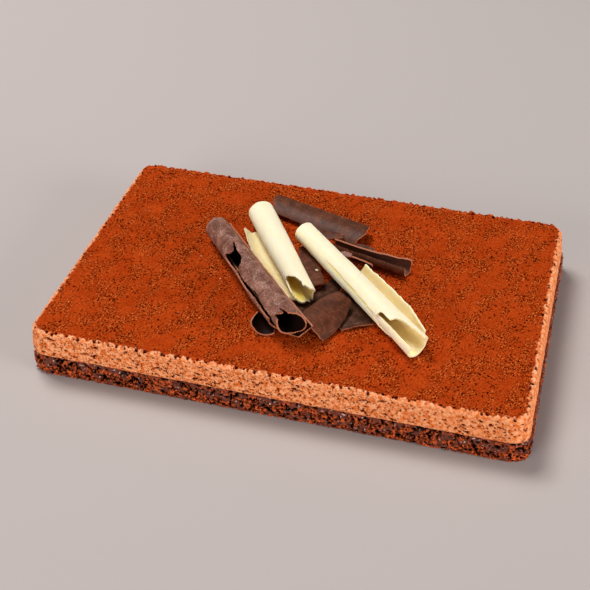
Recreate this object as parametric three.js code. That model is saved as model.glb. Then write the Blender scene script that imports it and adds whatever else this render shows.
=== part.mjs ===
import * as THREE from "three";

// Flourless chocolate cake: a dark sponge, a layer of chocolate mousse, a skin of cocoa
// and a pile of dark and white chocolate curls. Sizes in millimetres, +X along the cake,
// +Y across it, +Z up, the origin under the middle of the sponge.

// Layers
const MOUSSE_LENGTH = 300;
const MOUSSE_WIDTH = 198;
const CORNER_RADIUS = 10;
const SPONGE_LENGTH = 303;
const SPONGE_WIDTH = 199.4;
const MOUSSE_SHIFT = -0.9; // the mousse sits a little to the left of the sponge's middle
const SPONGE_HEIGHT = 14.2;
const MOUSSE_HEIGHT = 17.0;
const COCOA_THICKNESS = 0.8;
const LAYER_GAP = 0.1;
const MOUSSE_BOTTOM = SPONGE_HEIGHT + LAYER_GAP;
const COCOA_BOTTOM = MOUSSE_BOTTOM + MOUSSE_HEIGHT + LAYER_GAP;
const COCOA_TOP = COCOA_BOTTOM + COCOA_THICKNESS;
const OUTLINE_STEP = 5; // spacing of the points round a layer's edge

// Chocolate curls
const DARK_THICKNESS = 1.2;
const WHITE_THICKNESS = 1.3;
const FLARE_TURN = 0.3; // share of a turn over which a loose edge opens out
const TURN = 360;
const SEED = 20;

// Seeded random numbers from 0 to 1
function randomSource(seed) {
  let state = seed >>> 0;
  return () => {
    state = (state + 0x6d2b79f5) >>> 0;
    let t = Math.imul(state ^ (state >>> 15), 1 | state);
    t = (t + Math.imul(t ^ (t >>> 7), 61 | t)) ^ t;
    return ((t ^ (t >>> 14)) >>> 0) / 4294967296;
  };
}

// Value at t (0 to 1) on the straight lines through evenly spaced values
function sample(values, t) {
  const place = Math.min(Math.max(t, 0), 1) * (values.length - 1);
  const low = Math.min(Math.floor(place), Math.max(values.length - 2, 0));
  const high = Math.min(low + 1, values.length - 1);
  return values[low] + (values[high] - values[low]) * (place - low);
}

// Anticlockwise rounded rectangle about the origin
function roundedOutline(length, width, radius) {
  const x = length / 2 - radius;
  const y = width / 2 - radius;
  const path = new THREE.Path();
  path.absarc(x, -y, radius, -Math.PI / 2, 0);
  path.absarc(x, y, radius, 0, Math.PI / 2);
  path.absarc(-x, y, radius, Math.PI / 2, Math.PI);
  path.absarc(-x, -y, radius, Math.PI, 1.5 * Math.PI);
  path.closePath();
  return path;
}

// A cake layer: a cylinder whose rings are pressed out to the rounded rectangle. Each row,
// from the bottom up, has a height, an inset from the outline and a roughness.
function layer({ length, width, bottom, rows, seed }) {
  const outline = roundedOutline(length, width, CORNER_RADIUS);
  const count = Math.round(outline.getLength() / OUTLINE_STEP);
  const random = randomSource(seed);
  const crumb = rows.map(() => Array.from({ length: count }, () => 2 * random() - 1));
  const geometry = new THREE.CylinderGeometry(1, 1, 1, count, rows.length - 1);
  const position = geometry.getAttribute("position");
  for (let i = 0; i < position.count; i += 1) {
    const across = position.getX(i);
    const along = position.getZ(i);
    const row = Math.round((position.getY(i) + 0.5) * (rows.length - 1));
    const { height, inset, rough } = rows[row];
    if (Math.hypot(across, along) < 0.5) {
      position.setXYZ(i, 0, 0, bottom + height);
      continue;
    }
    const turn = Math.atan2(across, along) / (2 * Math.PI) + 1;
    const index = Math.round(turn * count) % count;
    const point = outline.getPoint(index / count);
    const tangent = outline.getTangent(index / count);
    const out = rough * crumb[row][index] - inset;
    position.setXYZ(i, point.x + out * tangent.y, point.y - out * tangent.x, bottom + height);
  }
  return geometry;
}

// Directions for a curl seen from its near end: along it, to the right and up
function curlFrame(far, near) {
  const along = new THREE.Vector3().subVectors(near, far).normalize();
  const right = new THREE.Vector3().crossVectors(new THREE.Vector3(0, 0, 1), along).normalize();
  const up = new THREE.Vector3().crossVectors(along, right);
  return { along, right, up };
}

// Closes a thin open surface into a solid sheet of even thickness
function thicken(surface, thickness) {
  surface.computeVertexNormals();
  const point = surface.getAttribute("position");
  const normal = surface.getAttribute("normal");
  const count = point.count;
  const vertices = new Float32Array(count * 6);
  for (let i = 0; i < count; i += 1) {
    const p = new THREE.Vector3().fromBufferAttribute(point, i);
    const n = new THREE.Vector3().fromBufferAttribute(normal, i).multiplyScalar(thickness / 2);
    vertices.set([p.x + n.x, p.y + n.y, p.z + n.z], 3 * i);
    vertices.set([p.x - n.x, p.y - n.y, p.z - n.z], 3 * (count + i));
  }
  const faces = [];
  const edges = new Map();
  const index = surface.getIndex().array;
  for (let i = 0; i < index.length; i += 3) {
    const corners = [index[i], index[i + 1], index[i + 2]];
    faces.push(...corners, corners[0] + count, corners[2] + count, corners[1] + count);
    corners.forEach((a, k) => edges.set(`${a},${corners[(k + 1) % 3]}`, [a, corners[(k + 1) % 3]]));
  }
  for (const [a, b] of edges.values()) {
    if (!edges.has(`${b},${a}`)) {
      faces.push(b, a, a + count, b, a + count, b + count);
    }
  }
  const sheet = new THREE.BufferGeometry();
  sheet.setAttribute("position", new THREE.BufferAttribute(vertices, 3));
  sheet.setIndex(faces);
  return sheet;
}

// A shaving of chocolate wound about an axis. Angles are in degrees, clockwise from the top
// as seen from the near end. Along its length: start is the angle of the outer long edge,
// sweep how far it winds, radius its size there and flare how far the loose edge opens out.
// Round the winding: farReach and nearReach are how far each broken end runs past its point.
// torn lists windows as shares of the winding and of the length.
function shaving(spec) {
  const { far, near, start, sweep, radius, pitch, thickness, cells, seed } = spec;
  const { flare = [0], farReach = [0], nearReach = [0], ragged = 0, torn = [] } = spec;
  const [around, lengthwise] = cells;
  const random = randomSource(seed);
  const jag = () => ragged * (2 * random() - 1);
  const farJag = Array.from({ length: around + 1 }, jag);
  const nearJag = Array.from({ length: around + 1 }, jag);
  const { along, right, up } = curlFrame(far, near);
  const length = far.distanceTo(near);
  const sheet = new THREE.PlaneGeometry(1, 1, around, lengthwise);
  const position = sheet.getAttribute("position");
  for (let i = 0; i < position.count; i += 1) {
    const u = position.getX(i) + 0.5;
    const v = 0.5 - position.getY(i);
    const column = Math.round(u * around);
    const from = -sample(farReach, u) + farJag[column];
    const to = length + sample(nearReach, u) + nearJag[column];
    const place = from + (to - from) * v;
    const wound = sample(sweep, v) * u;
    const turns = Math.abs(wound) / TURN;
    const open = Math.max(1 - turns / FLARE_TURN, 0);
    const r = sample(radius, v) - pitch * turns + sample(flare, v) * open * open;
    const angle = THREE.MathUtils.degToRad(sample(start, v) + wound);
    const p = far.clone().addScaledVector(along, place);
    p.addScaledVector(right, r * Math.sin(angle)).addScaledVector(up, r * Math.cos(angle));
    position.setXYZ(i, p.x, p.y, p.z);
  }
  const kept = [];
  const index = sheet.getIndex().array;
  const isTorn = (column, row) =>
    torn.some(([u0, u1, v0, v1]) => {
      const u = (column + 0.5) / around;
      const v = (row + 0.5) / lengthwise;
      return u > u0 && u < u1 && v > v0 && v < v1;
    });
  for (let cell = 0; cell < around * lengthwise; cell += 1) {
    if (!isTorn(cell % around, Math.floor(cell / around))) {
      kept.push(...index.subarray(6 * cell, 6 * cell + 6));
    }
  }
  sheet.setIndex(kept);
  return thicken(sheet, thickness);
}

// A gently arched shard: its middle line runs from far to near, and it leans by lean degrees
function shard({ far, near, arc, lean, radius, ...rest }) {
  const { right, up } = curlFrame(far, near);
  const angle = THREE.MathUtils.degToRad(lean);
  const drop = right.clone().multiplyScalar(-radius * Math.sin(angle));
  drop.addScaledVector(up, -radius * Math.cos(angle));
  return shaving({
    far: far.clone().add(drop),
    near: near.clone().add(drop),
    radius: [radius],
    start: arc.map((degrees) => lean - degrees / 2),
    sweep: arc,
    pitch: 0,
    thickness: DARK_THICKNESS,
    ...rest,
  });
}

// A point on the mousse's own plan, at a height over the cocoa
function over(x, y, height) {
  return new THREE.Vector3(x + MOUSSE_SHIFT, y, COCOA_TOP + height);
}

const root = new THREE.Group();
root.name = "flourless_chocolate_cake";

function add(name, geometry, colour, roughness) {
  const material = new THREE.MeshStandardMaterial({ color: colour, roughness });
  material.name = name;
  const mesh = new THREE.Mesh(geometry, material);
  mesh.name = name;
  root.add(mesh);
}

const SPONGE = 0x40180c;
const MOUSSE = 0xd28a60;
const COCOA = 0x9c3a12;
const DARK = 0x54382f;
const WHITE = 0xf4ebc8;

// Sponge: a crumbly foot, a full middle and a moist upper band drawn in under the mousse
const sponge = layer({
  length: SPONGE_LENGTH,
  width: SPONGE_WIDTH,
  bottom: 0,
  rows: [
    { height: 0, inset: 0.9, rough: 0.5 },
    { height: 4, inset: 0.3, rough: 0.6 },
    { height: 9.5, inset: 0.7, rough: 0.6 },
    { height: SPONGE_HEIGHT, inset: 2.2, rough: 0.5 },
  ],
  seed: SEED,
});

// Mousse: upright walls with a rounded shoulder
const mousse = layer({
  length: MOUSSE_LENGTH,
  width: MOUSSE_WIDTH,
  bottom: MOUSSE_BOTTOM,
  rows: [
    { height: 0, inset: 0.4, rough: 0.4 },
    { height: 5, inset: 0, rough: 0.45 },
    { height: 11, inset: 0, rough: 0.45 },
    { height: 15.3, inset: 0.4, rough: 0.5 },
    { height: MOUSSE_HEIGHT, inset: 1.6, rough: 0.4 },
  ],
  seed: SEED + 1,
});

// Cocoa: a thin even dusting that stops short of the shoulder
const cocoa = layer({
  length: MOUSSE_LENGTH,
  width: MOUSSE_WIDTH,
  bottom: COCOA_BOTTOM,
  rows: [
    { height: 0, inset: 1.7, rough: 0.5 },
    { height: COCOA_THICKNESS, inset: 2.1, rough: 0.5 },
  ],
  seed: SEED + 2,
});
mousse.translate(MOUSSE_SHIFT, 0, 0);
cocoa.translate(MOUSSE_SHIFT, 0, 0);

add("sponge", sponge, SPONGE, 0.9);
add("mousse", mousse, MOUSSE, 0.9);
add("cocoa", cocoa, COCOA, 1);

// Large dark scroll on the left, with a torn window high on its left side
add(
  "dark_scroll",
  shaving({
    far: over(-70.1, 25.7, 8),
    near: over(4.4, -67.5, 13.2),
    start: [85],
    sweep: [550],
    radius: [7.6, 8.6, 9.6],
    pitch: 2.2,
    thickness: DARK_THICKNESS,
    cells: [28, 12],
    nearReach: [2, 0, -1, -3, -2, 0, 1, -1],
    ragged: 0.7,
    torn: [[0.34, 0.46, 0.26, 0.42]],
    seed: SEED + 3,
  }),
  DARK,
  0.6,
);

// Open dark trough under the scroll's near end
add(
  "dark_trough",
  shaving({
    far: over(-11.5, -50, 9.5),
    near: over(-10.4, -66, 9.5),
    start: [245, 278],
    sweep: [-70, -142],
    radius: [8.6],
    pitch: 0,
    thickness: DARK_THICKNESS,
    cells: [10, 5],
    ragged: 0.6,
    seed: SEED + 4,
  }),
  DARK,
  0.6,
);

// Short white roll with a loose flap on its left and a broken near end
add(
  "white_roll_short",
  shaving({
    far: over(-47.3, 47.4, 9.4),
    near: over(0.6, -27, 9.8),
    start: [292],
    sweep: [-440],
    radius: [8.6, 8.8, 8.6, 8.2, 8],
    pitch: 2,
    flare: [3, 6, 5, 3, 0.5],
    thickness: WHITE_THICKNESS,
    cells: [26, 14],
    nearReach: [3, 1, 4, 9, 5, 1, -2, 2],
    ragged: 0.8,
    torn: [
      [0, 0.15, 0, 0.2],
      [0.62, 0.86, 0.86, 1],
    ],
    seed: SEED + 5,
  }),
  WHITE,
  0.5,
);

// Long white roll with a loose flap on its right; its near end lies open as a gutter
add(
  "white_roll_long",
  shaving({
    far: over(-13.3, 30.6, 12),
    near: over(80.4, -61.4, 8.6),
    start: [66],
    sweep: [430],
    radius: [6.6, 7, 8, 8, 7.8, 7.6],
    pitch: 1.8,
    flare: [0, 0, 4.5, 4, 1.5, 0],
    thickness: WHITE_THICKNESS,
    cells: [26, 16],
    nearReach: [-4, 0, 1, 0, -2],
    ragged: 0.9,
    torn: [
      [0, 0.14, 0, 0.37],
      [0.44, 0.58, 0.66, 0.8],
      [0.44, 1, 0.8, 1],
    ],
    seed: SEED + 6,
  }),
  WHITE,
  0.5,
);

// Long dark tile at the back
add(
  "dark_tile_back",
  shard({
    far: over(-42.3, 65.6, 6.2),
    near: over(23.2, 44.2, 6.6),
    arc: [50, 54, 58],
    lean: -10,
    radius: 20,
    cells: [8, 10],
    farReach: [-4, 2, 4],
    nearReach: [-0.5, 3, 0.5],
    ragged: 1,
    seed: SEED + 7,
  }),
  DARK,
  0.6,
);

// Torn dark flake against the front of the back tile
add(
  "dark_flake_back",
  shard({
    far: over(-3.5, 35.8, 6.3),
    near: over(11.8, 37.6, 6.6),
    arc: [20, 24, 18],
    lean: -12,
    radius: 16,
    cells: [3, 5],
    ragged: 0.5,
    seed: SEED + 14,
  }),
  DARK,
  0.6,
);

// Narrow dark stick, rolled up most of the way and open along its top
add(
  "dark_stick",
  shaving({
    far: over(7.3, 28.4, 5.3),
    near: over(58.5, 15, 5.1),
    start: [52],
    sweep: [264],
    radius: [4, 4.2, 4.2],
    pitch: 0,
    flare: [0, 0, 0, 1.5, 2.8],
    nearReach: [1.5],
    thickness: DARK_THICKNESS,
    cells: [18, 6],
    ragged: 0.7,
    seed: SEED + 8,
  }),
  DARK,
  0.6,
);

// Small dark splinter beside the long white roll
add(
  "dark_splinter",
  shard({
    far: over(22.5, 17.7, 5.9),
    near: over(37.3, 13.8, 4.8),
    arc: [10, 16, 10],
    lean: 60,
    radius: 16,
    cells: [3, 5],
    ragged: 0.6,
    seed: SEED + 9,
  }),
  DARK,
  0.6,
);

// Dark shard in the gap between the white rolls
add(
  "dark_shard_upper",
  shard({
    far: over(-11.5, 25, 2.8),
    near: over(8.4, -16.5, 5.6),
    arc: [14, 26, 24],
    lean: -8,
    radius: 26,
    cells: [5, 8],
    ragged: 0.9,
    seed: SEED + 10,
  }),
  DARK,
  0.6,
);

// Dark shard lying on the cocoa below it
add(
  "dark_shard_lower",
  shard({
    far: over(19, -3, 1),
    near: over(11.5, -33.5, 1),
    arc: [8, 11, 10],
    lean: 0,
    radius: 70,
    cells: [4, 6],
    ragged: 0.8,
    seed: SEED + 11,
  }),
  DARK,
  0.6,
);

// Short arched dark tile at the front
add(
  "dark_tile_front",
  shard({
    far: over(28.9, -27, 9.4),
    near: over(15.8, -60.5, 8.7),
    arc: [38, 76, 90, 84],
    lean: 15,
    radius: 16.2,
    cells: [10, 8],
    nearReach: [-5, -3, 0, 1, 0],
    ragged: 0.9,
    seed: SEED + 12,
  }),
  DARK,
  0.6,
);

// Flat dark shard at the front, half under the arched tile
add(
  "dark_shard_front",
  shard({
    far: over(23.5, -15.8, 2.45),
    near: over(41, -44.2, 1.35),
    arc: [6, 13, 16, 15],
    lean: 0,
    radius: 80,
    cells: [5, 4],
    ragged: 0.8,
    seed: SEED + 13,
  }),
  DARK,
  0.6,
);

// The sponge's rough outline decides the middle of the plan
const box = new THREE.Box3().setFromObject(root);
const middle = box.getCenter(new THREE.Vector3());
root.children.forEach((mesh) => mesh.geometry.translate(-middle.x, -middle.y, -box.min.z));

export default root;
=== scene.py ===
"""Dresses the flourless chocolate cake: moist sponge, bubbly mousse, cocoa dusting and chocolate curls.

Sizes are in millimetres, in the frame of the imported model, and become metres when a mesh is written.
"""

from __future__ import annotations

import logging
import math
from collections.abc import Sequence
from dataclasses import dataclass
from enum import Enum

import bpy
import numpy as np
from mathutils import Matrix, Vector, noise


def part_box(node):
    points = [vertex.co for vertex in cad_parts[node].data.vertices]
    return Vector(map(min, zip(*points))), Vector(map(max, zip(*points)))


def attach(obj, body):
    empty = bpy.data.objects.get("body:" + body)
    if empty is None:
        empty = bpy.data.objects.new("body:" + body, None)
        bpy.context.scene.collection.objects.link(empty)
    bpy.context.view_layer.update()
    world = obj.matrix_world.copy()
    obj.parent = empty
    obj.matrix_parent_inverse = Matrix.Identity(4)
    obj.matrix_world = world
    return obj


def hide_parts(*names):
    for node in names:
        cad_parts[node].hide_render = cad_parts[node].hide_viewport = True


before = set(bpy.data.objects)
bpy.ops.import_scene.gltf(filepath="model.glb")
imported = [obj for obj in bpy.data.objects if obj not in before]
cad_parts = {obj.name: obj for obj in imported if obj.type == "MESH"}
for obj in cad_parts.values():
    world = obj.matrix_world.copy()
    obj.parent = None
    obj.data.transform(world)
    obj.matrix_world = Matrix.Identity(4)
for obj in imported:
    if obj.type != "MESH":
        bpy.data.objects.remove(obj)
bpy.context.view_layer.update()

log = logging.getLogger("cake")

MM = 0.001
MM2_PER_CM2 = 100.0
TURN = 360.0
RIGHT_ANGLE = math.pi / 2.0
BODY = "root"

# How far one seed's stretch of noise lies from the next
GRAIN_SHIFT = (13.7, 7.9, 3.3)
CRUMB_SHIFT = (5.1, 8.7, 2.9)
LINE_SHIFT = 0.37

Piece = bpy.types.Object
Tree = bpy.types.NodeTree
Node = bpy.types.Node
Socket = bpy.types.NodeSocket
Range = tuple[float, float]
Point = tuple[float, float, float]
Polygon = Sequence[tuple[float, float]]
Steps = Sequence[float]  # evenly spaced values, from a start to an end
Layers = Sequence[tuple[float, float, int]]  # height, size and seed of each layer of noise


def deselect_all() -> None:
    """Leaves nothing selected, so that the next operator acts on the new piece alone."""
    bpy.ops.object.select_all(action="DESELECT")


def read_points(piece: Piece) -> np.ndarray:
    """Reads the vertices of a piece.

    Args:
        piece: a mesh object.

    Returns:
        One row of x, y and z in millimetres for each vertex.
    """
    flat = np.empty(len(piece.data.vertices) * 3)
    piece.data.vertices.foreach_get("co", flat)
    return flat.reshape(-1, 3) / MM


def write_points(piece: Piece, points: np.ndarray) -> None:
    """Moves the vertices of a piece to these points, in millimetres."""
    piece.data.vertices.foreach_set("co", (points * MM).ravel())
    piece.data.update()


def store(piece: Piece, name: str, values: np.ndarray) -> None:
    """Keeps one number for each vertex, for the materials to read by this name."""
    attribute = piece.data.attributes.new(name, "FLOAT", "POINT")
    attribute.data.foreach_set("value", values.ravel().astype(np.float32))


def sample(values: Steps, share: np.ndarray) -> np.ndarray:
    """Reads the straight lines through evenly spaced values, at places from 0 to 1."""
    return np.interp(share, np.linspace(0.0, 1.0, len(values)), values)


def ease(low: float, high: float, values: np.ndarray) -> np.ndarray:
    """Gives a smooth step from 0 at low to 1 at high."""
    share = np.clip((values - low) / (high - low), 0.0, 1.0)
    return share * share * (3.0 - 2.0 * share)


def bell(middle: float, spread: float, values: np.ndarray) -> np.ndarray:
    """Gives a smooth hump, 1 at the middle."""
    return np.exp(-(((values - middle) / spread) ** 2))


def grain(points: np.ndarray, size: float, seed: int) -> np.ndarray:
    """Gives smooth noise, about -1 to 1, with lumps this far apart in millimetres."""
    shift = Vector([step * seed for step in GRAIN_SHIFT])
    return np.array([noise.noise(Vector(point) / size + shift) for point in points.tolist()])


def roughen(points: np.ndarray, layers: Layers, seed: int = 0) -> np.ndarray:
    """Adds up layers of smooth noise, their seeds counted on from this one."""
    return sum(height * grain(points, size, seed + own) for height, size, own in layers)


def fray(places: np.ndarray, layers: Layers, seed: int = 0) -> np.ndarray:
    """Adds up layers of smooth noise along a line.

    Args:
        places: how far along the line each place is.
        layers: the layers of noise.
        seed: the number that the layers' seeds are counted on from.

    Returns:
        One value for each place.
    """
    points = np.zeros((len(places), 3))
    points[:, 0] = places
    total = np.zeros(len(places))
    for height, size, own in layers:
        points[:, 1] = LINE_SHIFT * size
        total += height * grain(points, size, seed + own)
    return total


def crumble(points: np.ndarray, size: float, seed: int) -> np.ndarray:
    """Gives rounded crumbs: 1 at the middle of each, 0 and less where they meet.

    Args:
        points: one row of x, y and z in millimetres for each place.
        size: the crumbs' width in millimetres.
        seed: a number that picks other crumbs.

    Returns:
        One value for each place.
    """
    shift = Vector([step * seed for step in CRUMB_SHIFT])
    nearest = [noise.voronoi(Vector(point) / size + shift)[0][0] for point in points.tolist()]
    return 1.0 - 2.0 * np.array(nearest)


def inside(points: np.ndarray, polygon: Polygon) -> np.ndarray:
    """Tells which points lie in a polygon.

    Args:
        points: one row of two coordinates for each point.
        polygon: its corners in order.

    Returns:
        True for each point that lies inside.
    """
    found = np.zeros(len(points), bool)
    x, y = points.T
    for (x0, y0), (x1, y1) in zip(polygon, [*polygon[1:], polygon[0]]):
        if y0 == y1:
            continue
        crossing = (y < y0) != (y < y1)
        found ^= crossing & (x < x0 + (y - y0) * (x1 - x0) / (y1 - y0))
    return found


class Cut(Enum):
    """What is cut out of a sheet, named as Blender's ways of selecting."""

    POINTS = "VERT"
    FACES = "FACE"


def cut_out(piece: Piece, cut: Cut, gone: np.ndarray, passes: int) -> None:
    """Deletes points or faces of a sheet and evens the edges that are left.

    Args:
        piece: the sheet.
        cut: what is deleted.
        gone: True for each point or face to delete.
        passes: how many times the edges are evened.
    """
    mesh = piece.data
    for parts in (mesh.vertices, mesh.edges, mesh.polygons):
        parts.foreach_set("select", np.zeros(len(parts), bool))
    chosen = mesh.vertices if cut is Cut.POINTS else mesh.polygons
    chosen.foreach_set("select", gone)
    bpy.ops.object.mode_set(mode="EDIT")
    bpy.ops.mesh.select_mode(type=cut.value)
    if gone.any():
        bpy.ops.mesh.delete(type=cut.value)
    bpy.ops.mesh.select_mode(type="VERT")
    bpy.ops.mesh.select_all(action="DESELECT")
    bpy.ops.mesh.select_non_manifold(extend=False)
    bpy.ops.mesh.vertices_smooth(factor=0.5, repeat=passes)
    bpy.ops.object.mode_set(mode="OBJECT")


def hand_over(piece: Piece, slot: str, *nodes: str) -> None:
    """Fixes a finished piece to the cake and reports it.

    Args:
        piece: the finished mesh object.
        slot: the record's material slot; not used.
        nodes: the CAD nodes that the piece stands for.
    """
    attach(piece, BODY)
    if nodes:
        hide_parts(*nodes)
    log.info("%s: %d faces", piece.name, len(piece.data.polygons))


# Finishes

SMOOTH = {"interpolation_type": "SMOOTHSTEP"}
FACTOR, COLOUR_A, COLOUR_B = 0, 6, 7  # sockets of a Mix node that mixes colours


def linear(colour: str) -> tuple[float, float, float, float]:
    """Turns an sRGB hex value into a linear colour.

    Args:
        colour: six hex digits.

    Returns:
        Red, green, blue and alpha.
    """
    parts = [int(colour[i : i + 2], 16) / 255.0 for i in (0, 2, 4)]
    red, green, blue = (c / 12.92 if c <= 0.04045 else ((c + 0.055) / 1.055) ** 2.4 for c in parts)
    return red, green, blue, 1.0


def per_metre(size: float) -> float:
    """Gives a texture's scale for a pattern of this size in millimetres."""
    return 1.0 / (size * MM)


def add_node(tree: Tree, kind: str, inputs: dict[str | int, object], **settings: object) -> Node:
    """Adds one node with its settings and links.

    Args:
        tree: the node tree that it goes into.
        kind: Blender's name for the type of shader node.
        inputs: for each socket a value, a hex colour, an output socket, or a node to link from.
        settings: the node's own options.

    Returns:
        The new node.
    """
    node = tree.nodes.new("ShaderNode" + kind)
    for name, value in settings.items():
        setattr(node, name, value)
    for socket, value in inputs.items():
        if isinstance(value, Node):
            value = next(output for output in value.outputs if output.enabled)
        if isinstance(value, Socket):
            tree.links.new(value, node.inputs[socket])
        else:
            node.inputs[socket].default_value = linear(value) if isinstance(value, str) else value
    return node


def lay_tones(tree: Tree, base: str, coats: Sequence[tuple[Node, Node | str]]) -> Node:
    """Lays tones over a base colour, one after another.

    Args:
        tree: the material's node tree.
        base: the colour below them all.
        coats: for each tone how much of it covers what lies below, and the tone itself.

    Returns:
        The node that gives the finished colour.
    """
    surface: Node | str = base
    for share, tone in coats:
        sockets = {FACTOR: share, COLOUR_A: surface, COLOUR_B: tone}
        surface = add_node(tree, "Mix", sockets, data_type="RGBA")
    return surface


@dataclass(frozen=True)
class Finish:
    """One surface as a procedural material."""

    name: str
    roughness: float
    gloss: float = 0.5

    def material(self) -> bpy.types.Material:
        """Makes the material, or gives the one that was made before.

        Returns:
            The material.
        """
        made = bpy.data.materials.get(self.name)
        if made:
            return made
        made = bpy.data.materials.new(self.name)
        made.use_nodes = True
        tree = made.node_tree
        tree.nodes.clear()
        even = {"Roughness": self.roughness, "Specular IOR Level": self.gloss}
        shader = add_node(tree, "BsdfPrincipled", {**even, **self.paint(tree)})
        add_node(tree, "OutputMaterial", {"Surface": shader})
        return made

    def paint(self, tree: Tree) -> dict[str, object]:
        """Adds the nodes of the pattern, in each finish its own.

        Args:
            tree: the material's node tree.

        Returns:
            What goes into each of the shader's sockets.
        """
        raise NotImplementedError


@dataclass(frozen=True)
class CocoaPowder(Finish):
    """Sifted cocoa: dry and matt, orange-brown where it lies thick, nearly black in its pinholes.

    Its grains are too fine to show, so lump is as coarse as the clots that they form. Stroke is the
    direction of the spreading strokes in degrees, and drawn_out how much longer the lumps are that
    way. The pinholes' outlines wander by up to stray. The colour follows the lumps' height: painted
    shade in their hollows, a painted highlight on their crests and nearly black painted shade in the
    pinholes.
    """

    # crest is a painted highlight on the lumps' tops; shade is painted shade in their hollows, and hole in
    # the pinholes
    crest: str = "e8843e"
    light: str = "bc4514"
    body: str = "a8380c"
    shade: str = "560f01"
    hole: str = "220601"
    drift: float = 9.0
    patch: float = 11.0
    lump: float = 0.8
    pinhole: float = 1.8
    crowd: float = 15.0
    wander: float = 1.0
    stray: float = 0.9
    depth: float = 1.3
    stroke: float = 72.0
    drawn_out: float = 1.8

    def powder(self, tree: Tree, place: Socket) -> tuple[Node, Node]:
        """Adds the powder's drifts, its lumps, drawn out along the spreading strokes, and its pinholes.

        Args:
            tree: the material's node tree.
            place: the socket that gives the place.

        Returns:
            The nodes that give the powder's colour and its height.
        """
        drifts = add_node(tree, "TexNoise", {"Vector": place, "Scale": per_metre(self.drift), "Detail": 3.0})
        turn = (0.0, 0.0, math.radians(self.stroke))
        longer = (self.drawn_out, 1.0, 1.0)
        sockets = {"Vector": place, "Rotation": turn, "Scale": longer}
        strokes = add_node(tree, "Mapping", sockets, vector_type="TEXTURE")
        grains, patches = (
            add_node(tree, "TexNoise", {"Vector": strokes, "Scale": per_metre(size), "Detail": 2.0})
            for size in (self.lump, self.patch)
        )
        sockets = {"Value": patches, "From Min": 0.38, "From Max": 0.62, "To Min": 0.55, "To Max": 1.3}
        rough = add_node(tree, "MapRange", sockets, **SMOOTH)
        about = add_node(tree, "Math", {0: grains, 1: 0.5}, operation="SUBTRACT")
        lumps = add_node(tree, "Math", {0: about, 1: rough, 2: 0.5}, operation="MULTIPLY_ADD")
        thick = add_node(tree, "MapRange", {"Value": drifts, "From Min": 0.3, "From Max": 0.7})
        sockets = {FACTOR: thick, COLOUR_A: self.body, COLOUR_B: self.light}
        base = add_node(tree, "Mix", sockets, data_type="RGBA")
        # Painted shade and highlight: darker where the lumps are low, paler on their crests, nearly black in
        # the pinholes
        share = add_node(tree, "MapRange", {"Value": lumps, "From Min": 0.3, "From Max": 0.52}, **SMOOTH)
        sockets = {"Value": lumps, "From Min": 0.55, "From Max": 0.74, "To Max": 0.75}
        high = add_node(tree, "MapRange", sockets, **SMOOTH)
        pits = self._pinholes(tree, place)
        colour = lay_tones(tree, self.shade, ((share, base), (high, self.crest), (pits, self.hole)))
        return colour, add_node(tree, "Math", {0: lumps, 1: pits}, operation="SUBTRACT")

    def paint(self, tree: Tree) -> dict[str, object]:
        """Covers the surface with powder.

        Args:
            tree: the material's node tree.

        Returns:
            What goes into the shader's colour and normal.
        """
        place = add_node(tree, "TexCoord", {}).outputs["Object"]
        colour, level = self.powder(tree, place)
        relief = add_node(tree, "Bump", {"Strength": 1.0, "Distance": self.depth * MM, "Height": level})
        return {"Base Color": colour, "Normal": relief}

    def _pinholes(self, tree: Tree, place: Socket) -> Node:
        """Adds small uneven holes, in crowds, to the larger ones of the mesh.

        Args:
            tree: the material's node tree.
            place: the socket that gives the place.

        Returns:
            The node that gives 1 in a hole and 0 elsewhere, the share of painted shade.
        """
        wander = add_node(tree, "TexNoise", {"Vector": place, "Scale": per_metre(self.wander)})
        sockets = {0: wander.outputs["Color"], 1: (self.stray * MM,) * 3, 2: place}
        uneven = add_node(tree, "VectorMath", sockets, operation="MULTIPLY_ADD")
        cells = add_node(tree, "TexVoronoi", {"Vector": uneven, "Scale": per_metre(self.pinhole)})
        crowds = add_node(tree, "TexNoise", {"Vector": place, "Scale": per_metre(self.crowd), "Detail": 1.0})
        lot = add_node(tree, "SeparateColor", {"Color": cells.outputs["Color"]})
        odds = add_node(tree, "Math", {0: lot, 1: 0.4, 2: crowds}, operation="MULTIPLY_ADD")
        drawn = add_node(tree, "MapRange", {"Value": odds, "From Min": 0.72, "From Max": 0.83})
        sockets = {"Value": cells, "From Min": 0.14, "From Max": 0.38, "To Min": 1.0, "To Max": 0.0}
        spot = add_node(tree, "MapRange", sockets, **SMOOTH)
        fine = add_node(tree, "Math", {0: drawn, 1: spot}, operation="MULTIPLY")
        # The mesh's deeper holes, with the painted shade that the mesh stores for them
        deep = add_node(tree, "Attribute", {}, attribute_name="pit_shade")
        return add_node(tree, "Math", {0: fine, 1: deep}, operation="MAXIMUM")


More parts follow.
